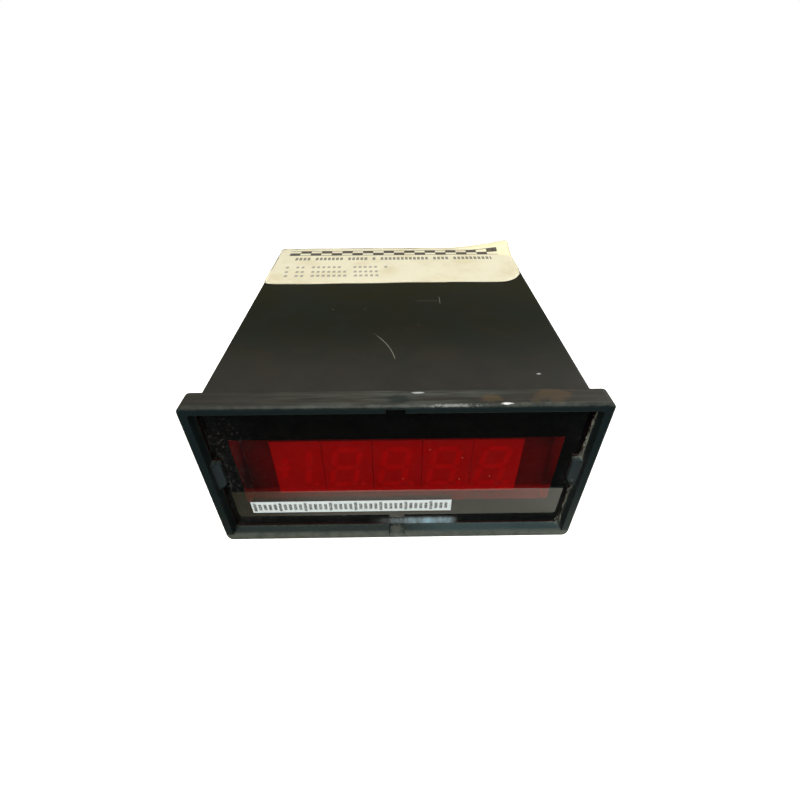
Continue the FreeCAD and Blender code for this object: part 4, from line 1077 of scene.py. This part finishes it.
def label_paper():
    material, tree, shader = new_material("label paper")
    place, x, y, _ = place_mm(tree)
    fibre = noise(tree, place, 4.0, 5.0, 0.7)
    aged = ramp(tree, noise(tree, place, 0.10, 5.0, 0.6), 0.42, 0.75)
    aged = highest(tree, aged, ramp(tree, y, 94.0, 98.0, 0.0, 0.5))
    colour = tint(tree, aged, PAPER, PAPER_AGED)
    colour = tint(tree, ramp(tree, fibre, 0.4, 0.8, 0.0, 0.25), colour, PAPER_AGED)

    left, right = SCALE_BAR
    rules = [marks(tree, x, y, SCALE_BAR, (low, low + RULE_WIDTH)) for low in SCALE_RULES]
    lower = marks(tree, x, y, SCALE_BAR, SCALE_LOWER, SCALE_BLOCK, 0.5)
    upper = marks(tree, x, y, (left + SCALE_BLOCK / 2, right), SCALE_UPPER, SCALE_BLOCK, 0.5)
    second = marks(tree, x, y, (-38.0, 37.0), (85.3, 88.0), 1.55, 0.66, 0.14)
    typed = [marks(tree, x, y, *row) for row in TYPED_ROWS]
    worn = ramp(tree, fibre, 0.30, 0.52, 0.45, 1.0)
    colour = tint(tree, product(tree, highest(tree, lower, upper, *rules), worn), colour, PRINT)
    colour = tint(tree, product(tree, second, worn, 0.75), colour, PRINT)
    colour = tint(tree, product(tree, highest(tree, *typed), worn, 0.75), colour, TYPED)
    set_inputs(tree, shader, {
        "Base Color": colour,
        "Roughness": 0.62,
        "Specular IOR Level": 0.3,
        "Normal": relief(tree, fibre, 0.25, 0.04),
    })
    return material


paper_label = label_mesh()
paper_label.data.materials.append(label_paper())
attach(paper_label, "housing")
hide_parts("rating_label")


# ------------------------------------------------------------- floor and light
# A pale table under soft studio light. The lens faces down at the table, so a dark card lies
# in front of the meter, seen only in gloss, and leaves a pale band just below the bezel.

FLOOR_SIZE = 3.0
FLOOR_COLOUR = (0.80, 0.80, 0.78, 1)
FLOOR_GLOW = 0.55
GLOSS_GLOW = 0.30
GLOSS_TINT = (0.88, 0.93, 0.74, 1)
GLOSS_FLOOR = (0.66, 0.69, 0.60, 1)
GLOSS_LEFT = (0.20, 0.20, 0.12, 1)
CARD_WIDTH = 1.2
CARD_START = -16.3 * MM
CARD_LIFT = 0.3 * MM
CARD_COLOUR = (0.018, 0.024, 0.024, 1)
WHITE = (1, 1, 1, 1)
MIDDLE = (0, 0.04, 0)


def flat_sheet(name, x, y, z, material):
    """A level sheet of the stage."""
    mesh = bpy.data.meshes.new(name)
    corners = [(x[0], y[0], z), (x[1], y[0], z), (x[1], y[1], z), (x[0], y[1], z)]
    mesh.from_pydata(corners, [], [(0, 1, 2, 3)])
    mesh.materials.append(material)
    made = bpy.data.objects.new(name, mesh)
    scene.collection.objects.link(made)
    return made


def floor_material():
    """White where the camera looks, and in gloss a tinted table that darkens to the left."""
    material, tree, shader = new_material("table")
    path = add(tree, "LightPath").outputs
    in_gloss = path["Is Glossy Ray"]
    shown = highest(tree, path["Is Camera Ray"], path["Is Transmission Ray"])
    _, x, _, _ = place_mm(tree)
    glow = product(tree, in_gloss, ramp(tree, x, -55.0, -10.0, 0.0, GLOSS_GLOW))
    gloss_colour = tint(tree, ramp(tree, x, -55.0, -10.0), GLOSS_LEFT, GLOSS_FLOOR)
    set_inputs(tree, shader, {
        "Base Color": tint(tree, in_gloss, FLOOR_COLOUR, gloss_colour),
        "Roughness": 0.9,
        "Specular IOR Level": 0.0,
        "Emission Color": tint(tree, in_gloss, WHITE, GLOSS_TINT),
        "Emission Strength": maths(tree, "ADD", product(tree, shown, FLOOR_GLOW), glow),
    })
    return material


def card_material():
    material, tree, shader = new_material("dark card")
    set_inputs(tree, shader, {"Base Color": CARD_COLOUR, "Roughness": 1.0, "Specular IOR Level": 0.0})
    return material


half_floor = FLOOR_SIZE / 2
floor_z = cad_box[0][2]
flat_sheet("table", (-half_floor, half_floor), (-half_floor, half_floor), floor_z, floor_material())
card = flat_sheet("dark_card", (-CARD_WIDTH / 2, CARD_WIDTH / 2), (-half_floor, CARD_START),
                  floor_z + CARD_LIFT, card_material())
card.visible_camera = False
card.visible_diffuse = False
card.visible_shadow = False


def room_light():
    """An even pale room: lighter overhead, and plain white where the camera looks."""
    world = bpy.data.worlds.new("room")
    world.use_nodes = True
    scene.world = world
    tree = world.node_tree
    tree.nodes.clear()
    up = parts(tree, add(tree, "TexCoord").outputs["Generated"])[2]
    path = add(tree, "LightPath").outputs
    in_gloss = path["Is Glossy Ray"]
    matt = product(tree, ramp(tree, up, 0.0, 0.9, 0.10, 0.82), maths(tree, "SUBTRACT", 1.0, in_gloss))
    gloss = product(tree, ramp(tree, up, 0.0, 0.9, 0.08, 0.34), in_gloss)
    unseen = maths(tree, "ADD", matt, gloss)
    strength = highest(tree, unseen, path["Is Camera Ray"], path["Is Transmission Ray"])
    background = add(tree, "Background", {"Color": WHITE, "Strength": strength})
    add(tree, "OutputWorld", {"Surface": background.outputs[0]})


def soft_lamp(name, place, size, energy, colour):
    """A round soft lamp, aimed at the meter's middle."""
    lamp = bpy.data.lights.new(name, "AREA")
    lamp.shape = "DISK"
    lamp.size = size
    lamp.energy = energy
    lamp.color = colour
    made = bpy.data.objects.new(name, lamp)
    scene.collection.objects.link(made)
    made.location = place
    made.rotation_euler = (Vector(MIDDLE) - Vector(place)).to_track_quat("-Z", "Y").to_euler()


room_light()
soft_lamp("key", (-0.07, -0.36, 0.56), 0.35, 6.1, (1.0, 0.97, 0.92))
soft_lamp("fill", (0.50, 0.30, 0.45), 0.40, 3.1, (0.94, 0.97, 1.0))


# --------------------------------------------------------------------- camera
# Placed where the photograph was taken: close in front, looking down on the meter.

CAMERA_PLACE = (-0.2 * MM, -78.6 * MM, 83.0 * MM)
CAMERA_DOWN = math.radians(38.14)
CAMERA_SIDE = math.radians(0.68)
CAMERA_ROLL = math.radians(0.21)
CAMERA_LENS = 19.66

camera = bpy.data.objects.new("camera", bpy.data.cameras.new("camera"))
scene.collection.objects.link(camera)
camera.data.lens = CAMERA_LENS
camera.data.sensor_width = 36.0
camera.data.clip_start = 2 * MM
camera.location = CAMERA_PLACE
aim = Matrix.Rotation(-CAMERA_SIDE, 3, "Z") @ Matrix.Rotation(math.pi / 2 - CAMERA_DOWN, 3, "X")
camera.rotation_euler = (aim @ Matrix.Rotation(-CAMERA_ROLL, 3, "Z")).to_euler()
scene.camera = camera
